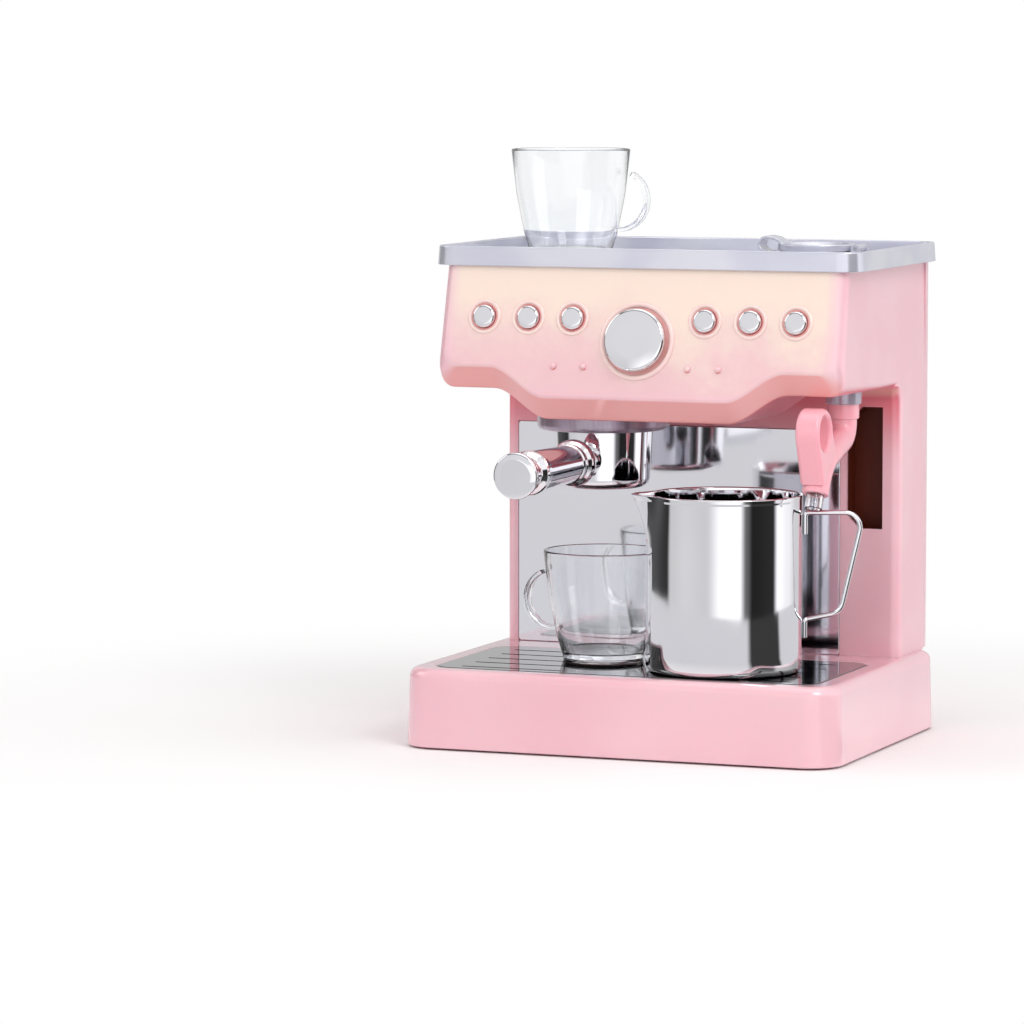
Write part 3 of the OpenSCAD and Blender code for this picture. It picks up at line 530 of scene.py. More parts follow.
slot_sizes = {"Rows": SLOT_ROWS, "Pitch": SLOT_PITCH * MM, "Length": (SLOT_X1 - SLOT_X0) * MM,
              "Width": SLOT_W * MM, "Reach": (SLOT_X0 + SLOT_X1) / 2 * MM, "First row": SLOT_Y0 * MM}
slots, given = geometry_tree("plate_slots", slot_sizes)
rows = node(slots, "GeometryNodeMeshLine", {
    "Count": given["Rows"], "Start Location": vector(slots, given["Reach"], given["First row"], BASE_H * MM),
    "Offset": vector(slots, 0, given["Pitch"], 0)}, mode="OFFSET")
right_slots = copies(slots, rows, node(slots, "GeometryNodeMeshCube", {
    "Size": vector(slots, given["Length"], given["Width"], 0.02)}))
left_slots = node(slots, "GeometryNodeTransform", {
    0: right_slots, "Translation": vector(slots, Signal(given["Reach"]) * -2.0, 0, 0)})
close_tree(slots, cut_out(slots, given[0], joined(slots, (right_slots, left_slots))), black_gloss)
drip_plate = grown("drip_plate_gloss", plate_blank, slots, slot_sizes)
settled(drip_plate)
mount(drip_plate, black_gloss, "machine", "drip_plate")

# ---------------------------------------------------------------- housing
# One large pink moulding: the leaning control panel with its bevelled lower edge, the
# low middle part that carries the group head, and the column behind. It has a pearl coat
# on its front, and the faces that look forward turn to cream, partly the coat's own colour
# and partly painted sheen, while the sides stay pink. Painted shade darkens its bevel, undersides and gaps.

BODY_W, BODY_TOP = 239, 268.3
COLUMN_Y, COLUMN_R = 45.5, 5.5
BACK_Y = 93
PANEL_Y, LEAN = -52, radians(12.2)
LOBE_X, LOBE_Z = 87, 213
BELLY_X, BELLY_Z, BELLY_END, STEP_R = 53, 196.7, 23, 12
BEVEL_BACK, BEVEL_DROP = 10, 13
CORNER_R, EDGE_R, FLARE_R = 8, 4, 10
BUTTON_Z, DIAL_Z, LAMP_Z = 240.2, 228.4, 213.8
BUTTON_X = [-91.8, -65.4, -39, 39, 65.4, 91.8]
LAMP_X = [-48.5, -30.7, 30.7, 48.5]
BUTTON_R, DIAL_R = 6.5, 17.75
GROUP_X, GROUP_Y, GROUP_R = -36, -17, 37.5
WAND_X, WAND_Y = 103, -7.5
WINDOW_X0, WINDOW_X1, WINDOW_Z0, WINDOW_Z1 = 88, 109.3, 118, 187.3
WINDOW_CUT, WINDOW_FOOT = 9, 7.5
MIRROR_X0, MIRROR_X1, MIRROR_Z1, MIRROR_T = -112, 84, 173.5, 1.5
upright = turn(pi / 2, "X")


def panel_y(z):
    return PANEL_Y - tan(LEAN) * (BODY_TOP - z)


def full_edge(inset, lift, rise, top, edge_r=EDGE_R):
    """The housing's edge from its right top corner, down and round its foot, to its left."""
    side, low = [BODY_W / 2 - 0.02 * max(0, z - LOBE_Z) - inset for z in (top, LOBE_Z)]
    half = [(side, top)] + [(low - edge_r * fall, LOBE_Z + lift + edge_r * (1 - down))
                            for fall, down in quarter(8)]
    for i in range(26):
        t = 1 - i / 25
        drop = (LOBE_Z - BELLY_Z) * (1 - t * t * (3 - 2 * t)) * (1 - rise)
        half.append((BELLY_X + (LOBE_X - BELLY_X) * t, LOBE_Z + lift - drop))
    return half + [(-x, z) for x, z in reversed(half)]


def head_loops(t, top, end):
    """The housing's sections from the panel to the back, a wall inside its skin."""
    bevel = [(p.x, p.y) for p in rounded_line(
        [(0, 6, 0), (0, 0, 4.5), (BEVEL_BACK, -BEVEL_DROP, 2.6), (16, -BEVEL_DROP, 0)], steps=7)][1:-1]
    r = CORNER_R - t

    def drop_at(back):
        for (x0, y0), (x1, y1) in zip(bevel, bevel[1:]):
            if back <= x1:
                return y0 + (y1 - y0) * max(0, back - x0) / max(x1 - x0, 1e-6)
        return -BEVEL_DROP
    loops = []
    for back in sorted({round(x, 4) for x, _ in bevel} | {round(r * fall, 4) for fall, _ in quarter(15)}):
        inset = t + (r - sqrt(max(0, r * r - (r - back) ** 2)) if back < r else 0)
        edge_r = EDGE_R + 5 * min(1, max(0, (24 - back) / 14))
        loops.append([Vector((x, panel_y(z) + t + back, z))
                      for x, z in full_edge(inset, t + drop_at(back), 0, top, edge_r)])
    stages = [(BELLY_END - t + STEP_R * (forward - 1), fall) for fall, forward in quarter(12)] + [(end, 1)]
    return loops + [[Vector((x, y, z)) for x, z in full_edge(t, t - BEVEL_DROP, rise, top)]
                    for y, rise in stages]


def column_loops(t, z0, z1):
    """Level sections of the column. Its front flares forward into the housing's underside."""
    r = COLUMN_R - t
    back = BACK_Y if t == 0 else BACK_Y + 1
    hidden = 0.6 if t == 0 else 0.0
    under = LOBE_Z - BEVEL_DROP + t
    fronts = [(z0, 0.0, 0.0)] + [(under - FLARE_R * (1 - rise), FLARE_R * fall, 0.0)
                                 for fall, rise in quarter(10)[:-1]]
    fronts += [(under + EDGE_R + 0.4, FLARE_R, 0.0), (under + EDGE_R + 1.4, FLARE_R, hidden),
               (z1, FLARE_R, hidden)]
    loops = []
    for z, forward, narrower in fronts:
        y0 = COLUMN_Y + t - forward
        half_w = BODY_W / 2 - t - narrower
        side = [(half_w - r + r * across, y0 + r * fall) for fall, across in quarter(10)] + [(half_w, back)]
        loops.append([Vector((x, y, z)) for x, y in side] + [Vector((-x, y, z)) for x, y in reversed(side)])
    return loops


def on_panel(x, z, out=0.0):
    """Placement on the leaning panel, with local Z pointing out of it."""
    return at(x, panel_y(z), z) @ turn(pi / 2 - LEAN, "X") @ at(0, 0, out)


def turned(name, profile, place=Matrix(), segments=48, closed=False, crease=30, reach=None):
    """Turns an outline of (radius, height) about the local Z axis. Reach can alter a radius."""
    verts, rings = [], []
    for r, z in profile:
        angles = [2 * pi * i / segments for i in range(segments if r >= 1e-6 else 1)]
        rings.append(list(range(len(verts), len(verts) + len(angles))))
        for a in angles:
            out = (reach(r, z, a) if reach else r) if r >= 1e-6 else 0
            verts.append(place @ Vector((out * cos(a), out * sin(a), z)))
    faces = []
    for low, high in list(zip(rings, rings[1:])) + ([(rings[-1], rings[0])] if closed else []):
        for i in range(segments if len(low) + len(high) > 2 else 0):
            j = (i + 1) % segments
            if len(low) == 1:
                faces.append((low[0], high[j], high[i]))
            elif len(high) == 1:
                faces.append((low[i], low[j], high[0]))
            else:
                faces.append((low[i], low[j], high[j], high[i]))
    return piece(name, verts, faces, crease)


def pin(name, r, z0, z1, place=Matrix(), segments=48):
    """A plain round bar along the local Z axis."""
    return turned(name, [(0, z0), (r, z0), (r, z1), (0, z1)], place, segments)


def prism(name, outline, place, depth):
    """A flat outline given a depth along the local Z axis."""
    n = len(outline)
    verts = [place @ Vector((x, y, z)) for z in (0, depth) for x, y in outline]
    faces = [tuple(reversed(range(n))), tuple(range(n, 2 * n))]
    faces += [(i, (i + 1) % n, n + (i + 1) % n, n + i) for i in range(n)]
    return piece(name, verts, faces)


def box(name, x0, x1, y0, y1, place, depth):
    return prism(name, [(x0, y0), (x1, y0), (x1, y1), (x0, y1)], place, depth)


def combined(target, operation, *tools):
    """Adds the tools to the target or cuts them out of it, and clears them away."""
    for tool in tools:
        step = target.modifiers.new("cut", "BOOLEAN")
        step.operation = operation
        step.solver = "EXACT"
        step.object = tool
    applied(target)
    finish_mesh(target.data)
    for tool in tools:
        remove(tool)


housing = lofted("housing", head_loops(0, BODY_TOP, BACK_Y))
combined(housing, "UNION", lofted("column", column_loops(0, BASE_H, LOBE_Z - 2)))
window_outline = [
    (WINDOW_X0, WINDOW_Z0 + WINDOW_FOOT), (WINDOW_X0 + WINDOW_FOOT, WINDOW_Z0), (WINDOW_X1, WINDOW_Z0),
    (WINDOW_X1, WINDOW_Z1), (WINDOW_X0 + WINDOW_CUT, WINDOW_Z1), (WINDOW_X0, WINDOW_Z1 - WINDOW_CUT)]
group_place = at(GROUP_X, GROUP_Y, 0)
combined(housing, "DIFFERENCE", lofted("hollow", head_loops(WALL, BODY_TOP + 1, BACK_Y + 1)),
         lofted("column_hollow", column_loops(WALL, BASE_H + WALL, LOBE_Z + 5)),
         prism("window_cut", window_outline, at(0, COLUMN_Y + WALL + 1, 0) @ upright, 6),
         box("mirror_seat", MIRROR_X0 - 0.2, MIRROR_X1 + 0.2, BASE_H - 1, MIRROR_Z1 + 0.2,
             at(0, COLUMN_Y + MIRROR_T + 0.1, 0) @ upright, 5),
         *[pin("button_hole", BUTTON_R + 1, -8, 4, on_panel(x, BUTTON_Z)) for x in BUTTON_X],
         pin("dial_hole", 3.1, -8, 4, on_panel(0, DIAL_Z)),
         pin("throat", GROUP_R - 3, BELLY_Z - BEVEL_DROP - 6, 205, group_place),
         pin("wand_hole", 10.1, 190, 206, at(WAND_X, WAND_Y, 0)))
settled(housing)

pearl = surface("pink_pearl", (246, 192, 202), (249, 200, 209), (20.0, 2.0, 0.36, 0.66), (0.29, 0.06),
                (16.0, 1.0, 0.008), (0.12, 0.0004), Coat_Roughness=0.15, Coat_IOR=1.5, Sheen_Weight=0.15,
                Sheen_Roughness=0.35, Sheen_Tint=linear(255, 205, 235), Thin_Film_IOR=1.45,
                **{**FLESHY, "Subsurface_Weight": 0.2})
coat = pearl.node_tree
pearl_in = shader_of(pearl).inputs
x, y, z = place_in(coat)
_, faces_back, faces_up = place_in(coat, "Normal")
forward, downward = -faces_back, -faces_up
# Painted sheen: faces that look forward turn cream, creamer towards the top, partly the pearl coat's own colour
# and partly the warm light that falls on them. The same mask gives the coat a little metal.
front = forward.step(0.45, 0.97)
coat_and_sheen = front * z.step(0.190, 0.204)
cloud = noise(coat, 20.0).step(0.36, 0.66)
cream_up = (z + noise(coat, 130.0, 3.0, 0.6) * 0.026 + cloud * 0.022).step(0.222, 0.275)
cream = mixed(cream_up, linear(245, 200, 204), linear(255, 230, 215))
# Painted sheen: a pink band down the panel's rounded side corners.
cream_and_corner_sheen = mixed(abs(x).step(0.106, 0.1165) * 0.8, cream, linear(251, 203, 214))
pearl_sheen_tone = mixed(coat_and_sheen, pearl_in["Base Color"].links[0].from_socket, cream_and_corner_sheen)
# Painted shade: a deep red on the undersides and on the column's front under the head, where shade falls in the
# pink plastic.
underneath = downward.step(0.3, 0.75)
deep = y.step(0.020, 0.028) * (z.step(0.150, 0.198) * forward.step(0.4, 0.8))
shaded = mixed(maths("MAXIMUM", deep, underneath * 0.75), pearl_sheen_tone, linear(230, 116, 128))
# Painted shade: a coral ring on the panel round the dial, in the gap where shade falls.
up_panel = (z - DIAL_Z * MM) * (1 / cos(LEAN))
from_dial = maths("SQRT", x * x + up_panel * up_panel)
dial_gap_shade = front * (1 - from_dial.step((DIAL_R + 1.2) * MM, (DIAL_R + 2.0) * MM))
# Painted shade: a darker salmon on the bevel and other faces that look down and forward.
bevel_shade = downward.step(0.2, 0.6) * forward.step(0.35, 0.7)
feed(pearl_in["Base Color"], mixed(bevel_shade, mixed(dial_gap_shade, shaded, linear(255, 184, 178)), linear(241, 168, 163)))
feed(pearl_in["Coat Weight"], underneath * -0.67 + 0.7)
feed(pearl_in["Specular IOR Level"], underneath * -0.42 + 0.5)
feed(pearl_in["Thin Film Thickness"], underneath * -320.0 + 320.0)
feed(pearl_in["Metallic"], coat_and_sheen * 0.18)
mount(housing, pearl, "machine", "body_housing")

ring_sizes = {"Ring radius": 0.0085, "Bead radius": 0.001}
bead, given = geometry_tree("panel_beads", ring_sizes)
ring_path, ring_section = [
    node(bead, "GeometryNodeCurvePrimitiveCircle", {"Resolution": steps, "Radius": given[label]})
    for steps, label in ((56, "Ring radius"), (14, "Bead radius"))]
ring_skin = node(bead, "GeometryNodeCurveToMesh", {0: ring_path, 1: ring_section})
close_tree(bead, copies(bead, given[0], ring_skin, (pi / 2 - LEAN, 0, 0)), pearl)


def ring_set(name, xs, z, out, ring_r, bead_r):
    """A raised ring on the panel round each control in a row."""
    return grown(name, piece(name, [on_panel(x, z, out).translation for x in xs], []), bead,
                 {"Ring radius": ring_r * MM, "Bead radius": bead_r * MM})


# Painted shade: a coral ring sunk in the gap round each button stands for the shade in the gap.
coral_seal = surface("coral_seal", (244, 150, 150), (247, 162, 160), marks=(0.34, 0.06))
# Painted highlight: the raised rings round the controls get a lighter copy of the pearl.
bead_pearl = surface("bead_pearl", (250, 214, 212), (255, 228, 220), marks=(0.2, 0.05), coat=0.5)
button_beads = ring_set("button_beads", BUTTON_X, BUTTON_Z, 0.05, BUTTON_R + 2.3, 1.05)
dial_bead = ring_set("dial_bead", [0], DIAL_Z, 0.05, DIAL_R + 2.75, 1.6)
button_seals = ring_set("button_seals", BUTTON_X, BUTTON_Z, -0.35, BUTTON_R + 0.60, 0.45)
lamps, given = geometry_tree("panel_lamps", {"Lamp radius": 0.0021})
lens = node(lamps, "GeometryNodeMeshUVSphere", {"Segments": 24, "Rings": 14, "Radius": given["Lamp radius"]})
close_tree(lamps, copies(lamps, given[0], lens), pearl)
panel_lamps = grown("panel_lamps", piece("panel_lamps", [
    on_panel(x, LAMP_Z, -0.1).translation for x in LAMP_X], []), lamps, {"Lamp radius": 2.1 * MM})
for trim, finish in ((button_beads, bead_pearl), (button_seals, coral_seal), (dial_bead, bead_pearl),
                     (panel_lamps, pearl)):
    mount(trim, finish, "machine")

# ---------------------------------------------------------------- mirror and window
# A sheet of mirrored film on the column's front, and beside it a chamfered window into a
# dark brown open-fronted box that clips in from behind. Its dark brown is partly its own colour and partly painted
# shade inside the window.


def upright_loop(w, h, r, y, centre, steps=8):
    """Rounded rectangle that stands upright and faces forward."""
    return [Vector((p.x + centre[0], y, p.y + centre[1])) for p in corner_loop(w, h, r, 0, 0, steps)]


mirror_film = surface("mirror_film", (230, 230, 235), (238, 237, 242), (12.0, 1.0), (0.07, 0.05, 30.0),
                      (14.0, 1.0), (0.12, 0.001), Metallic=1.0)
mirror_w, mirror_h = MIRROR_X1 - MIRROR_X0, MIRROR_Z1 - BASE_H - 0.15
mirror_mid = ((MIRROR_X0 + MIRROR_X1) / 2, BASE_H + 0.1 + mirror_h / 2)
mirror = lofted("mirror_sheet", [
    upright_loop(mirror_w - 2 * inset, mirror_h - 2 * inset, 1.6, COLUMN_Y + back, mirror_mid)
    for inset, back in ((0.2, MIRROR_T), (0.0, MIRROR_T - 0.2), (0.0, 0.45), (0.15, 0.15), (0.45, 0.02))])
settled(mirror)
mount(mirror, mirror_film, "machine", "mirror_panel")
# Painted shade: the liner's dark brown is partly its own colour and partly the shade inside the window.
dress(window_liner=surface("liner_brown", (92, 34, 18), (106, 42, 24), marks=(0.42, 0.1),
                           Specular_IOR_Level=0.25))

# ---------------------------------------------------------------- rear cover
# The back of the column and the housing in plain pink, held by four screws in deep
# recesses. A round group of small holes lets the sound of the loudspeaker out.

COVER_Y, COVER_R = 102, 5
SPEAKER_X, SPEAKER_Z = 40, 110
BOSS_X, REAR_SCREW_X, REAR_SCREW_Z = 112.5, 112.7, (70, 245)
cover_h = BODY_TOP - BASE_H - 0.2
cover_sections = [(WALL, WALL, 1.5, COVER_Y - WALL), (WALL, WALL, 1.5, BACK_Y + 0.02), (0, 0, 1.5, BACK_Y + 0.02)]
cover_sections += [(COVER_R * fall, 2 * fall, 1.5 + 2 * fall, COVER_Y - COVER_R + COVER_R * rise)
                   for fall, rise in quarter(8)]
cover_blank = lofted("rear_cover_blank", [
    upright_loop(BODY_W - 2 * side, cover_h - 2 * edge, r, y, (0, (BASE_H + BODY_TOP) / 2))
    for side, edge, r, y in cover_sections])
cover_blank.data.materials.append(pink_gloss)

hole_sizes = {"Hole radius": 1.2 * MM, "Ring step": 5 * MM}
grille, given = geometry_tree("cover_holes", hole_sizes)
drill = node(grille, "GeometryNodeMeshCylinder", {"Vertices": 16, "Depth": 0.02, "Radius": given["Hole radius"]})
hole_rings = [node(grille, "GeometryNodeMeshCircle", {
    "Vertices": 6 * k, "Radius": Signal(given["Ring step"]) * float(k)}) for k in (1, 2, 3)]
middle = node(grille, "GeometryNodeMeshLine", {"Count": 1}, mode="OFFSET")
drills = copies(grille, joined(grille, hole_rings + [middle]), drill)
aimed = node(grille, "GeometryNodeTransform", {
    0: drills, "Rotation": (pi / 2, 0, 0), "Translation": (SPEAKER_X * MM, COVER_Y * MM, SPEAKER_Z * MM)})
close_tree(grille, cut_out(grille, given[0], aimed), pink_gloss)
rear_cover = grown("rear_cover_shell", cover_blank, grille, hole_sizes)
boss_places = [at(x, BACK_Y + 0.02, z) @ turn(-pi / 2, "X") for x in (-BOSS_X, BOSS_X) for z in REAR_SCREW_Z]
combined(rear_cover, "DIFFERENCE", *[pin("recess", 3.2, 3.5, 12, place, 32) for place in boss_places])
combined(rear_cover, "UNION", *[
    turned("boss", [(1.7, 0), (5, 0), (5, 8), (3.2, 8), (3.2, 3.5), (1.7, 3.5)], place, 32, True)
    for place in boss_places])
settled(rear_cover)
mount(rear_cover, pink_gloss, "machine", "rear_cover")


def screw_set(name, stands_for, places, shaft_r, shaft_l, head_r, head_h, aim):
    """Pan-head screws with a cross recess, one on each place, pointing along aim."""
    outline = [(0, -shaft_l), (shaft_r * 0.4, -shaft_l), (shaft_r, -shaft_l + 1.5)]
    turns = int(shaft_l / 1.1)
    for i in range(turns):
        z = -shaft_l + 1.5 + (shaft_l - 1.5) * (i + 0.5) / turns
        outline += [(shaft_r * 0.78, z - 0.2), (shaft_r, z + 0.15)]
    outline += [(shaft_r, 0), (head_r, 0), (head_r, head_h * 0.45)]
    outline += [(head_r * cos(radians(a)), head_h * (0.45 + 0.55 * sin(radians(a)))) for a in (20, 40, 60, 78)]
    screw = turned("screw", outline + [(0, head_h)], segments=20)
    combined(screw, "DIFFERENCE", *[
        box("arm", -w, w, -h, h, at(0, 0, head_h * 0.5), 2)
        for w, h in ((head_r * 0.6, head_r * 0.13), (head_r * 0.13, head_r * 0.6))])
    tree, given = geometry_tree(name + "_tree", {})
    shape = node(tree, "GeometryNodeObjectInfo", {0: screw}).outputs["Geometry"]
    close_tree(tree, copies(tree, given[0], shape, aim), steel)
    made = grown(name, piece(name, places, []), tree, {}, 30)
    remove(screw)
    mount(made, steel, "machine", stands_for)


BASE_SCREWS = [(-100, 62), (-48, 80), (48, 80), (100, 62)]
screw_set("rear_screw_set", "rear_screws", [
    (x, COVER_Y - 2.5 - 1.0, z) for x in (-REAR_SCREW_X, REAR_SCREW_X) for z in REAR_SCREW_Z],
    1.25, 11, 2.8, 1.4, (-pi / 2, 0, 0))
screw_set("base_screw_set", "base_screws", [(x, y, BASE_H - PLATE_T - WALL - 1.02) for x, y in BASE_SCREWS],
          1.25, 15, 2.9, 1.9, (pi, 0, 0))
screw_set("door_screw_turned", "door_screw", [(26, 0, 1.1)], 1.5, 2.1, 3, 0.6, (pi, 0, 0))

# ---------------------------------------------------------------- top tray
# A silver pearl tray caps the housing. Its rim stands proud all round so that cups stay
# on, and a collar in its floor takes the tank's lid.

TRAY_W, TRAY_Y0, TRAY_Y1, TRAY_Z1, TRAY_R = 251.6, -54.5, 102.4, 279.3, 13
TRAY_FLOOR, TRAY_WALL = 270.3, 3
LID_X, LID_Y, LID_R, LID_Z = 76, 25.5, 22, 276.4
PIN_X, PIN_Z, PIN_R = LID_X + LID_R + 3, 278, 1.2

silver_pearl = surface("silver_pearl", (206, 208, 222), (219, 220, 230), (26.0, 1.5, 0.35, 0.66), (0.19, 0.06),
                       (22.0, 1.0, 0.012), (0.3, 0.0003), coat=0.3, Coat_Roughness=0.15, Metallic=0.5,
                       Thin_Film_Thickness=280.0, Thin_Film_IOR=1.4)
tray_mid_y, tray_d = (TRAY_Y0 + TRAY_Y1) / 2, TRAY_Y1 - TRAY_Y0
tray_section = rounded_line([
    (TRAY_WALL + 9, TRAY_FLOOR, 0), (TRAY_WALL, TRAY_FLOOR, 1.6), (TRAY_WALL - 0.3, TRAY_Z1, 0.9),
    (0.8, TRAY_Z1, 1.3), (0, BODY_TOP, 0.5), (TRAY_WALL + 9, BODY_TOP, 0)], steps=6)
tray = lofted("tray", [corner_loop(TRAY_W - 2 * p.x, tray_d - 2 * p.x, max(TRAY_R - p.x, 1.2), p.y, tray_mid_y, 14)
                       for p in tray_section])
lid_axis = at(LID_X, LID_Y, 0)
combined(tray, "DIFFERENCE", pin("filler_cut", LID_R - 1.5, BODY_TOP - 2, 290, lid_axis, 64))
collar_section = rounded_line([
    (LID_R - 1.5, 269.5, 0), (LID_R + 1, 269.5, 0), (LID_R + 1, LID_Z - 0.4, 0.6),
    (LID_R - 1.5, LID_Z - 0.4, 0.6), (LID_R - 1.5, 269.5, 0)])[:-1]
combined(tray, "UNION", turned("collar", collar_section, lid_axis, 64, True))
for side in (-1, 1):
    ear_line = [(-3, TRAY_FLOOR - 0.8), (3, TRAY_FLOOR - 0.8)] + [
        (2.4 * cos(radians(a)), PIN_Z + 2.4 * sin(radians(a))) for a in range(0, 181, 15)]
    ear_y = LID_Y + side * 6.5 + 1.5
    ear = prism("ear", ear_line, at(PIN_X, ear_y, 0) @ upright, 3)
    combined(ear, "DIFFERENCE", pin("bore", PIN_R + 0.02, -3, 6, at(PIN_X, ear_y, PIN_Z) @ upright, 24))
    combined(tray, "UNION", ear)
settled(tray)
mount(tray, silver_pearl, "machine", "cup_tray", "cup_tray_rim")

# ---------------------------------------------------------------- tank, mist maker and boards
# What the housing holds: the clear tank with the ultrasonic disc under it, the duct to
# the wand, and the boards that the buttons, the dial and the loudspeaker hang on.

clear_tank = surface("tank_clear", (240, 245, 248), (248, 250, 252), (20.0, 2.0), skin=None,
                     Transmission_Weight=0.85, IOR=1.49, Roughness=0.08)
green_board = surface("board_green", (18, 92, 52), (42, 140, 84), lambda tree: Signal(node(
    tree, "ShaderNodeTexBrick", {"Vector": node(tree, "ShaderNodeTexCoord").outputs["Object"],
                                 5: 420.0, 6: 0.05}).outputs["Fac"]), skin=None, coat=0.4,
                      Coat_Roughness=0.03, Roughness=0.35)
black_satin = surface("black_satin", (34, 34, 36), (44, 44, 47), marks=(0.42, 0.1))
white_satin = surface("white_satin", (232, 232, 230), (240, 240, 238), marks=(0.38, 0.1))
brass_plain = surface("brass_plain", (196, 158, 88), (216, 180, 108), (300.0, 3.0), skin=None,
                      Metallic=1.0, Roughness=0.28)
dress(water_tank=clear_tank, mist_seal=rubber, mist_disc=brass_plain, mist_duct=white_satin,
      main_board=green_board, switch_board=green_board, speaker=black_satin, keypad_membrane=rubber,
      dial_encoder=black_satin)

# ---------------------------------------------------------------- wand socket
# A grey ring let into the housing's right lobe. The wand's collar turns inside it and the
# mist duct presses on from above.

socket_grey = surface("socket_grey", (172, 168, 184), (196, 193, 207), marks=(0.19, 0.06), coat=0.3,
                      Metallic=0.3)
socket_section = rounded_line([
    (10, 203, 0), (10, 193, 1.0), (9, 193, 0.5), (9, 197.4, 0), (5.05, 197.4, 0), (5.05, 205.5, 0),
    (11.5, 205.5, 0.4), (11.5, 202.6, 0.2), (10, 202.6, 0), (10, 203, 0)])[1:-1]
socket_ring = turned("socket_ring", socket_section, at(WAND_X, WAND_Y, 0), 56, True, 38)
mount(socket_ring, socket_grey, "machine", "wand_socket")

# ---------------------------------------------------------------- group head
# A purple-grey pearl ring under the low middle part. A groove inside it takes the
# portafilter's two lugs, and two notches let them in. A plated screen closes it above.

BASKET_R, LUG_OUT, LUG_Z = 28, 31.2, 180
GROUP_Z0, UNDER_BELLY = 175.7, BELLY_Z - BEVEL_DROP


def flow_lines(tree):
    """Streaks of pearl that run up a piece."""
    tall = node(tree, "ShaderNodeMapping", {
        0: node(tree, "ShaderNodeTexCoord").outputs["Object"], "Scale": (1, 1, 0.12)})
    return noise(tree, 120.0, 4.0, 0.6, tall).step(0.3, 0.7)


group_pearl = surface("group_pearl", (158, 138, 156), (192, 183, 196), flow_lines, (0.29, 0.10), flow_lines,
                      (0.12, 0.0002), coat=0.3, Coat_Roughness=0.1, Metallic=0.55,
                      Thin_Film_Thickness=350.0, Thin_Film_IOR=1.4)
group_section = rounded_line([
    (GROUP_R - 3.05, 200, 0), (GROUP_R - 3.05, UNDER_BELLY + 0.02, 0), (GROUP_R, UNDER_BELLY + 0.02, 0.3),
    (GROUP_R, GROUP_Z0, 3.2), (BASKET_R + 1.6, GROUP_Z0, 1.0), (BASKET_R + 1.6, LUG_Z - 0.4, 0),
    (LUG_OUT + 0.3, LUG_Z - 0.4, 0), (LUG_OUT + 0.3, LUG_Z + 3.4, 0), (BASKET_R + 1.6, LUG_Z + 3.4, 0),
    (BASKET_R + 1.6, 196, 0), (0.0, 196, 0), (0.0, 200, 0)], steps=6)
group_head = turned("group_ring", group_section, group_place, 96)


def sectors(name, r_in, r_out, spread, heading, z, depth):
    """Two opposite slices of a ring round the group head's axis."""
    angles = [radians(-spread / 2 + spread * i / 14) for i in range(15)]
    outline = [(r_out * cos(a), r_out * sin(a)) for a in angles]
    outline += [(r_in * cos(a), r_in * sin(a)) for a in reversed(angles)]
    return [prism(name, outline, group_place @ turn(radians(a + heading), "Z") @ at(0, 0, z), depth)
            for a in (0, 180)]


combined(group_head, "DIFFERENCE", *sectors("notch", 25, LUG_OUT + 0.3, 46, -45, GROUP_Z0 - 1,
                                            LUG_Z + 4 - GROUP_Z0))
settled(group_head)
mount(group_head, group_pearl, "machine", "group_head")

chrome = surface("chrome_plated", (226, 226, 230), (236, 235, 238), (25.0, 2.0), (0.035, 0.05, 50.0),
                 (30.0, 1.0, 0.0), (0.10, 0.0006), Metallic=1.0)
dress(shower_screen=chrome)

# ---------------------------------------------------------------- buttons and dial
# Six plated push buttons with softly turned edges, and one large plated dial that turns
# on a shaft through the panel. Each is a body of its own.

BUTTON_OUT, DIAL_OUT, BOARD_BACK = 3.0, 7.0, 12.6
button_section = rounded_line([
    (0, -6, 0), (2, -6, 0), (2, -4.1, 0), (BUTTON_R + 1.9, -4.1, 0), (BUTTON_R + 1.9, -2.7, 0),
    (BUTTON_R, -2.7, 0), (BUTTON_R, BUTTON_OUT - 0.1, 1.9), (BUTTON_R * 0.5, BUTTON_OUT - 0.04, 2),
    (0, BUTTON_OUT, 0)], steps=8)
for number, x in enumerate(BUTTON_X, 1):
    cap = turned("button_cap_%d" % number, button_section, on_panel(x, BUTTON_Z), 56, crease=40)
    mount(cap, chrome, "button_%d" % number, "button_%d" % number)
dial_section = rounded_line([
    (0, -BOARD_BACK, 0), (3, -BOARD_BACK, 0), (3, 1.4, 0), (DIAL_R - 1.4, 1.4, 0.3), (DIAL_R, 3.6, 2.0),
    (DIAL_R - 0.2, DIAL_OUT, 3.0), (DIAL_R * 0.6, DIAL_OUT + 0.3, 8), (0, DIAL_OUT + 0.45, 0)], steps=9)
dial = turned("dial_cap", dial_section, on_panel(0, DIAL_Z), 96, crease=40)
mount(dial, chrome, "dial", "dial")

# ---------------------------------------------------------------- tank lid
# A dished silver pearl cap. Its left edge is drawn out and curled under into a finger
# tab, and an arm on the right turns on a steel pin between the tray's ears.

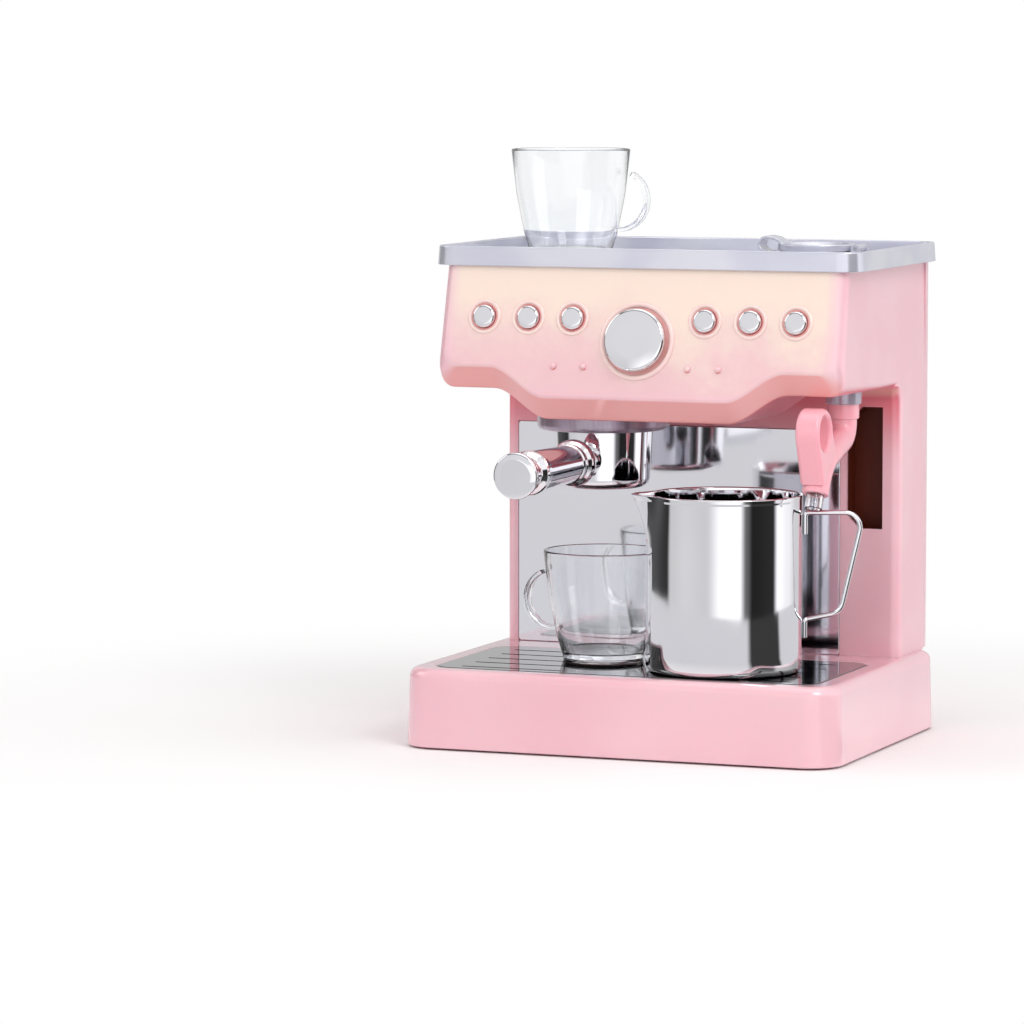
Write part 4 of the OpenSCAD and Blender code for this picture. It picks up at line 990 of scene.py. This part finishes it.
CURL_X, CURL_Z, CURL_W, CURL_H = -LID_R - 5.2, 3.2, 5.2, 4.2
lid_place = at(LID_X, LID_Y, LID_Z)
pin_place = at(PIN_X, LID_Y, PIN_Z) @ upright
lid_section = rounded_line([
    (0, 0, 0), (LID_R - 4.8, 0, 0), (LID_R - 4.8, -3, 0.3), (LID_R - 3.9, -3, 0.3), (LID_R - 3.9, 0, 0),
    (LID_R, 0, 0.6), (LID_R, 4, 0.8), (LID_R - 2.4, 4, 0.8), (LID_R - 3.4, 2.4, 1.5), (0, 2, 0)], steps=5)
lid = turned("lid", lid_section, lid_place, 72)
tab_line = [(-LID_R + 4.0, 3.2), (-LID_R + 2.0, 5.0), (-LID_R - 1.0, 6.6), (CURL_X, CURL_Z + CURL_H)]
tab_line += [(CURL_X + CURL_W * cos(radians(a)), CURL_Z + CURL_H * sin(radians(a))) for a in range(104, 287, 14)]


def ribbon(name, line, thickness, width, place):
    """A strip of constant thickness that follows a line, with rounded long edges."""
    left, right = [], []
    for k, (x, y) in enumerate(line):
        x0, y0 = line[max(k - 1, 0)]
        x1, y1 = line[min(k + 1, len(line) - 1)]
        run = hypot(x1 - x0, y1 - y0)
        nx, ny = -(y1 - y0) / run, (x1 - x0) / run
        left.append((x + nx * thickness / 2, y + ny * thickness / 2))
        right.append((x - nx * thickness / 2, y - ny * thickness / 2))
    made = prism(name, left + right[::-1], place @ at(0, 0, -width / 2), width)
    edge = made.modifiers.new("edge", "BEVEL")
    edge.width = 0.5 * MM
    edge.segments = 3
    edge.limit_method = "ANGLE"
    edge.angle_limit = radians(50)
    applied(made)
    finish_mesh(made.data)
    return made


knuckle_section = [(0, -4.8), (1.9, -4.8), (2.3, -4.4), (2.3, 4.4), (1.9, 4.8), (0, 4.8)]
combined(lid, "UNION", ribbon("tab", tab_line, 1.5, 14, lid_place @ upright),
         box("arm", -3, 3, -4.8, 4.8, lid_place @ at(LID_R, 0, 0.1), 3.0),
         turned("knuckle", knuckle_section, pin_place, 32))
combined(lid, "DIFFERENCE", pin("pin_bore", PIN_R + 0.05, -9, 9, pin_place, 32))
settled(lid)
mount(lid, silver_pearl, "tank_lid", "tank_lid", "lid_cap")
dress(lid_seal=white_satin, lid_pin=steel)

# ---------------------------------------------------------------- portafilter
# A plated basket with a rolled rim and two bayonet lugs, and a turned handle with a
# flared ring behind the neck. It is locked in the group head by an eighth of a turn.

BASKET_Z0, BASKET_Z1, HANDLE_Z, HANDLE_L = 143, 187, 160, 104
basket_section = rounded_line([
    (0, BASKET_Z0, 0), (BASKET_R - 1.6, BASKET_Z0, 5.5), (BASKET_R, BASKET_Z1 - 4, 2),
    (BASKET_R + 1.2, BASKET_Z1 - 3, 0.8), (BASKET_R + 1.2, BASKET_Z1, 1.3), (BASKET_R - 1.6, BASKET_Z1, 1.2),
    (BASKET_R - 3.6, BASKET_Z0 + 1.8, 4.5), (15, BASKET_Z0 + 1.8, 0.6), (15, BASKET_Z0 + 2.8, 0.6),
    (12.5, BASKET_Z0 + 2.8, 0.6), (12.5, BASKET_Z0 + 1.8, 0.6), (0, BASKET_Z0 + 1.8, 0)], steps=7)
basket = turned("basket", basket_section, group_place, 96)
neck_section = [(0, 26.3), (8.6, 26.3), (8.2, 31), (7.6, 34), (0, 34)]
combined(basket, "UNION", *sectors("lug", BASKET_R - 1, LUG_OUT, 40, 0, LUG_Z, 3),
         turned("neck_boss", neck_section, at(GROUP_X, GROUP_Y, HANDLE_Z) @ upright, 40))
settled(basket)
mount(basket, chrome, "portafilter", "portafilter_basket", "portafilter_cup")

L = HANDLE_L
handle_section = rounded_line([
    (0, 0, 0), (7, 0, 0), (7, 7, 3), (9.6, 9.6, 3), (12.6, 11.4, 1.5), (13.4, 14.2, 2.5), (12.6, 17.4, 2),
    (10.6, 19.4, 1.5), (10.6, 21.4, 0.5), (11.3, 22.2, 0.5), (11.3, 24.2, 0.5), (10.4, 25.2, 0.6),
    (11.8, L - 27, 20), (12.3, L - 22, 2), (11.8, L - 20, 1), (9.4, L - 17, 4), (9.2, L - 13, 4),
    (10.6, L - 8.5, 5), (12.7, L - 4, 2), (12.8, L - 1, 1.4), (9, L, 3), (0, L - 0.4, 0)], steps=5)
handle = turned("portafilter_grip", handle_section, at(GROUP_X, GROUP_Y - BASKET_R - 6, HANDLE_Z) @ upright, 64,
                crease=40)
mount(handle, chrome, "portafilter", "portafilter_handle")

# ---------------------------------------------------------------- steam wand
# A bent pink pipe with a collar that turns in the socket, and a flat tab with a finger
# hole to swing it. A clear tube runs through it and shows at both ends.

COLLAR_TOP, COLLAR_L, COLLAR_R, PIPE_R, TUBE_R = 197, 12.4, 8.7, 7.5, 5
ELBOW_R, ELBOW_TURN, ARM_L, TIP_R, TIP_TURN, TIP_L = 10.5, 73.5, 23, 30, 52, 2.5
TAB_R, TAB_EDGE, FINGER_R, FINGER_EDGE = 13.6, 2.6, 9.6, 2.2
COLLAR_END = COLLAR_TOP - COLLAR_L
elbow_z = COLLAR_END - 1.6
wand_place = at(WAND_X, WAND_Y, 0) @ turn(-pi / 2, "Z") @ upright


def wand_line(start_z, past):
    """The wand's centre line as (out, up, slope in radians) from a height to past its tip."""
    line = [(0.0, start_z, pi / 2)]
    line += [(0.0, z, pi / 2) for z in (COLLAR_END + 0.4, COLLAR_END - 0.2) if z < start_z]
    for i in range(15):
        a = radians(ELBOW_TURN * i / 14)
        line.append((ELBOW_R * (1 - cos(a)), elbow_z - ELBOW_R * sin(a), pi / 2 - a))
    x, z, slope = line[-1]
    x, z = x + ARM_L * cos(slope), z - ARM_L * sin(slope)
    cx, cz = x - TIP_R * sin(slope), z - TIP_R * cos(slope)
    for i in range(15):
        a = slope + radians(TIP_TURN * i / 14)
        line.append((cx + TIP_R * sin(a), cz + TIP_R * cos(a), a))
    x, z, slope = line[-1]
    return line + [(x + past * cos(slope), z - past * sin(slope), slope)]


def pipe_loop(out, up, slope, r, segments=36):
    """A ring round the line's direction, in the wand's plane."""
    side = Vector((sin(slope), cos(slope), 0))
    return [wand_place @ (Vector((out, up, 0)) + side * (r * cos(2 * pi * i / segments))
                          + Vector((0, 0, r * sin(2 * pi * i / segments)))) for i in range(segments)]


outer_line = wand_line(COLLAR_TOP, TIP_L)
end_x, end_z, end_s = outer_line[-1]
wand_loops = [pipe_loop(0, z, pi / 2, r) for z, r in (
    (COLLAR_TOP, COLLAR_R - 0.6), (COLLAR_TOP - 0.6, COLLAR_R), (COLLAR_END + 0.7, COLLAR_R),
    (COLLAR_END + 0.1, COLLAR_R - 0.45), (COLLAR_END - 0.1, PIPE_R))]
wand_loops += [pipe_loop(x, z, s, PIPE_R) for x, z, s in outer_line[3:-1]]
wand_loops += [pipe_loop(end_x - back * cos(end_s), end_z + back * sin(end_s), end_s, PIPE_R - narrower)
               for back, narrower in ((0.8, 0), (0.2, 0.25), (0, 0.8))]
wand = lofted("wand", wand_loops)

arm_slope = radians(90 - ELBOW_TURN)
arm_x, arm_z = ELBOW_R * (1 - cos(radians(ELBOW_TURN))), elbow_z - ELBOW_R * sin(radians(ELBOW_TURN))
hole_place = wand_place @ at(arm_x, arm_z, 0) @ turn(-arm_slope, "Z") @ at(ARM_L + 18, 20, 0)
tab_half = PIPE_R - 0.5


def tab_outline(inset):
    """The tab's outline: round at the top, its sides running out to the pipe."""
    r = TAB_R - inset
    arc = [(r * cos(radians(a)), r * sin(radians(a))) for a in range(-12, 199, 6)]
    return [(11.5 - inset, -26), (12.4 - inset, -14)] + arc + [(-15.6 + inset, -13), (-17 + inset, -17.5)]


tab_loops = [[hole_place @ Vector((x, y, face * (tab_half - TAB_EDGE * fall)))
              for x, y in tab_outline(TAB_EDGE * (1 - rise))]
             for face in (-1, 1) for fall, rise in quarter(6)[::-face]]
finger_section = [(0, -12), (FINGER_R + FINGER_EDGE, -12), (FINGER_R + FINGER_EDGE, -tab_half)]
finger_section += [(FINGER_R + FINGER_EDGE * (1 - rise), -tab_half + FINGER_EDGE * fall)
                   for fall, rise in quarter(6)[1:]]
finger_section += [(r, -z) for r, z in reversed(finger_section)]
combined(wand, "UNION", lofted("wand_tab", tab_loops))
combined(wand, "DIFFERENCE", turned("finger", finger_section, hole_place, 56),
         lofted("bore", [pipe_loop(x, z, s, TUBE_R + 0.02) for x, z, s in wand_line(COLLAR_TOP + 1, TIP_L + 1)]))
settled(wand)
wand_pink = surface("wand_pink", (252, 178, 190), (254, 190, 201), marks=(0.2, 0.06), coat=0.3, **FLESHY)
mount(wand, wand_pink, "steam_wand", "wand_pipe", "wand_arm")

clear = surface("clear_styrene", (248, 250, 252), (255, 255, 255), (18.0, 2.0), (0.02, 0.05),
                (40.0, 1.0, 0.0), (0.12, 0.0006), Transmission_Weight=1.0, IOR=1.5)
tube_line = wand_line(204.5, TIP_L + 8)
tube = lofted("wand_tube_clear", [pipe_loop(x, z, s, TUBE_R - 0.04, 28) for x, z, s in tube_line]
              + [pipe_loop(x, z, s, TUBE_R - 1.6, 28) for x, z, s in reversed(tube_line)], False)
mount(tube, clear, "steam_wand", "wand_tube")

# ---------------------------------------------------------------- pitcher
# A plated milk pitcher with straight sides, a rolled lip drawn out into a spout, and a
# bent wire handle whose two ends run straight along the body.

PITCHER_X, PITCHER_Y, PITCHER_TURN = 46, -45, radians(20)
PITCHER_R, PITCHER_H, PITCHER_T = 43.5, 99, 1.6
SPOUT_OUT, SPOUT_FALL = 8.5, 27
pitcher_place = at(PITCHER_X, PITCHER_Y, PLATE_TOP) @ turn(PITCHER_TURN, "Z")
pitcher_section = rounded_line([
    (0, 1.0, 0), (PITCHER_R - 9, 1.0, 0.8), (PITCHER_R - 8, 0, 0.8), (PITCHER_R, 0, 5.5),
    (PITCHER_R - 0.05, PITCHER_H - 3.5, 0.5), (PITCHER_R + 0.05, PITCHER_H - 2.4, 0.6),
    (PITCHER_R + 0.2, PITCHER_H, 1.1), (PITCHER_R - PITCHER_T, PITCHER_H, 0.9),
    (PITCHER_R - PITCHER_T - 0.1, PITCHER_T, 4.5), (0, PITCHER_T + 0.8, 0)], steps=6)
wall_rise = []
for a, b in zip(pitcher_section, pitcher_section[1:]):
    steps = 14 if abs(b.y - a.y) > 30 else 1
    wall_rise += [a.lerp(b, i / steps) for i in range(steps)]
wall_rise.append(pitcher_section[-1])


def with_spout(r, z, angle):
    """The body's radius, drawn out into the spout and pinched on both sides of it."""
    off = degrees(abs(angle - pi))
    up = max(0.0, (z - (PITCHER_H - SPOUT_FALL)) / SPOUT_FALL)
    draw = SPOUT_OUT * up ** 1.7 * 2.718 ** (-(off / 12.5) ** 2)
    pinch = -1.6 * up ** 1.5 * 2.718 ** (-((off - 27) / 9.0) ** 2)
    return r + draw + pinch


pitcher = turned("pitcher_shell", wall_rise, pitcher_place, 144, crease=50, reach=with_spout)
mount(pitcher, chrome, "pitcher", "pitcher_body")

WIRE_R, HANDLE_TOP, HANDLE_OUT, BEND_R = 1.4, 88.5, 32, 8.5
wire_x, wire_in = PITCHER_R - 0.16, WIRE_R + 0.1
lean, foot = radians(13), radians(12)
outward, inward = Vector((cos(lean), -sin(lean))), Vector((sin(foot), -cos(foot)))
top_bend = Vector((HANDLE_OUT - BEND_R, HANDLE_TOP - BEND_R))
low_bend = top_bend + BEND_R * outward + 41 * Vector((-sin(lean), -cos(lean))) - BEND_R * outward
low_end = low_bend + BEND_R * inward
foot_z = low_end.y - (low_end.x - wire_in) * tan(foot)
low_corner = low_bend + (outward + inward).normalized() * (BEND_R / cos(outward.angle(inward) / 2))
wire = rounded_line([
    (wire_in, HANDLE_TOP - 12, 0), (wire_in, HANDLE_TOP, 2.2),
    (top_bend.x + BEND_R * (1 / cos(lean) + tan(lean)), HANDLE_TOP, BEND_R), (*low_corner, BEND_R),
    (wire_in, foot_z, 2.2), (wire_in, foot_z - 10, 0)], steps=10)
wire_loops = []
for k, p in enumerate(wire):
    run = (wire[min(k + 1, len(wire) - 1)] - wire[max(k - 1, 0)]).normalized()
    angles = [2 * pi * i / 20 for i in range(20)]
    wire_loops.append([pitcher_place @ Vector((
        wire_x + p.x - run.y * WIRE_R * cos(a), WIRE_R * sin(a), p.y + run.x * WIRE_R * cos(a))) for a in angles])
pitcher_wire = lofted("pitcher_wire", wire_loops, crease=50)
mount(pitcher_wire, chrome, "pitcher", "pitcher_handle")

# ---------------------------------------------------------------- cups
# Two clear cups with a foot ring, a slightly bowed wall and a strip handle. One stands
# under the portafilter and one on the top tray.

CUP_R0, CUP_R1, CUP_H, CUP_T = 22.5, 34, 62, 1.8
GRIP_R, GRIP_Z = 16.7, 33
cup_section = rounded_line([
    (0, 1.6, 0), (CUP_R0 - 3, 1.6, 0.6), (CUP_R0 - 2.2, 0, 0.6), (CUP_R0, 0, 0.7), (CUP_R0 + 4.2, 14, 30),
    (CUP_R0 + 8.6, 36, 60), (CUP_R1, CUP_H, 0.8), (CUP_R1 - CUP_T, CUP_H, 0.8), (CUP_R0 + 8.6 - CUP_T, 36, 60),
    (CUP_R0 + 4.2 - CUP_T, 14, 30), (CUP_R0 - CUP_T + 0.4, 4, 1.5), (0, 4, 0)], steps=7)
strip_angles = [radians(-112 + 8.4 * i) for i in range(27)]
strip_line = [(CUP_R0 + 7 + GRIP_R * cos(a), GRIP_Z + GRIP_R * sin(a)) for a in strip_angles]
strip_line = [(x, y) for x, y in strip_line if x > CUP_R0 + 0.30 * y - 1.2]
for cup_name, node_name, place in (
        ("cup_under_portafilter", "brew_cup", at(GROUP_X, GROUP_Y, PLATE_TOP) @ turn(pi, "Z")),
        ("cup_on_tray", "tray_cup", at(-70, 20, TRAY_FLOOR))):
    cup = turned("cup", cup_section, place, 96)
    combined(cup, "UNION", ribbon("strip", strip_line, 2.6, 7, place @ upright))
    mount(cup, clear, node_name, node_name, cup_name)
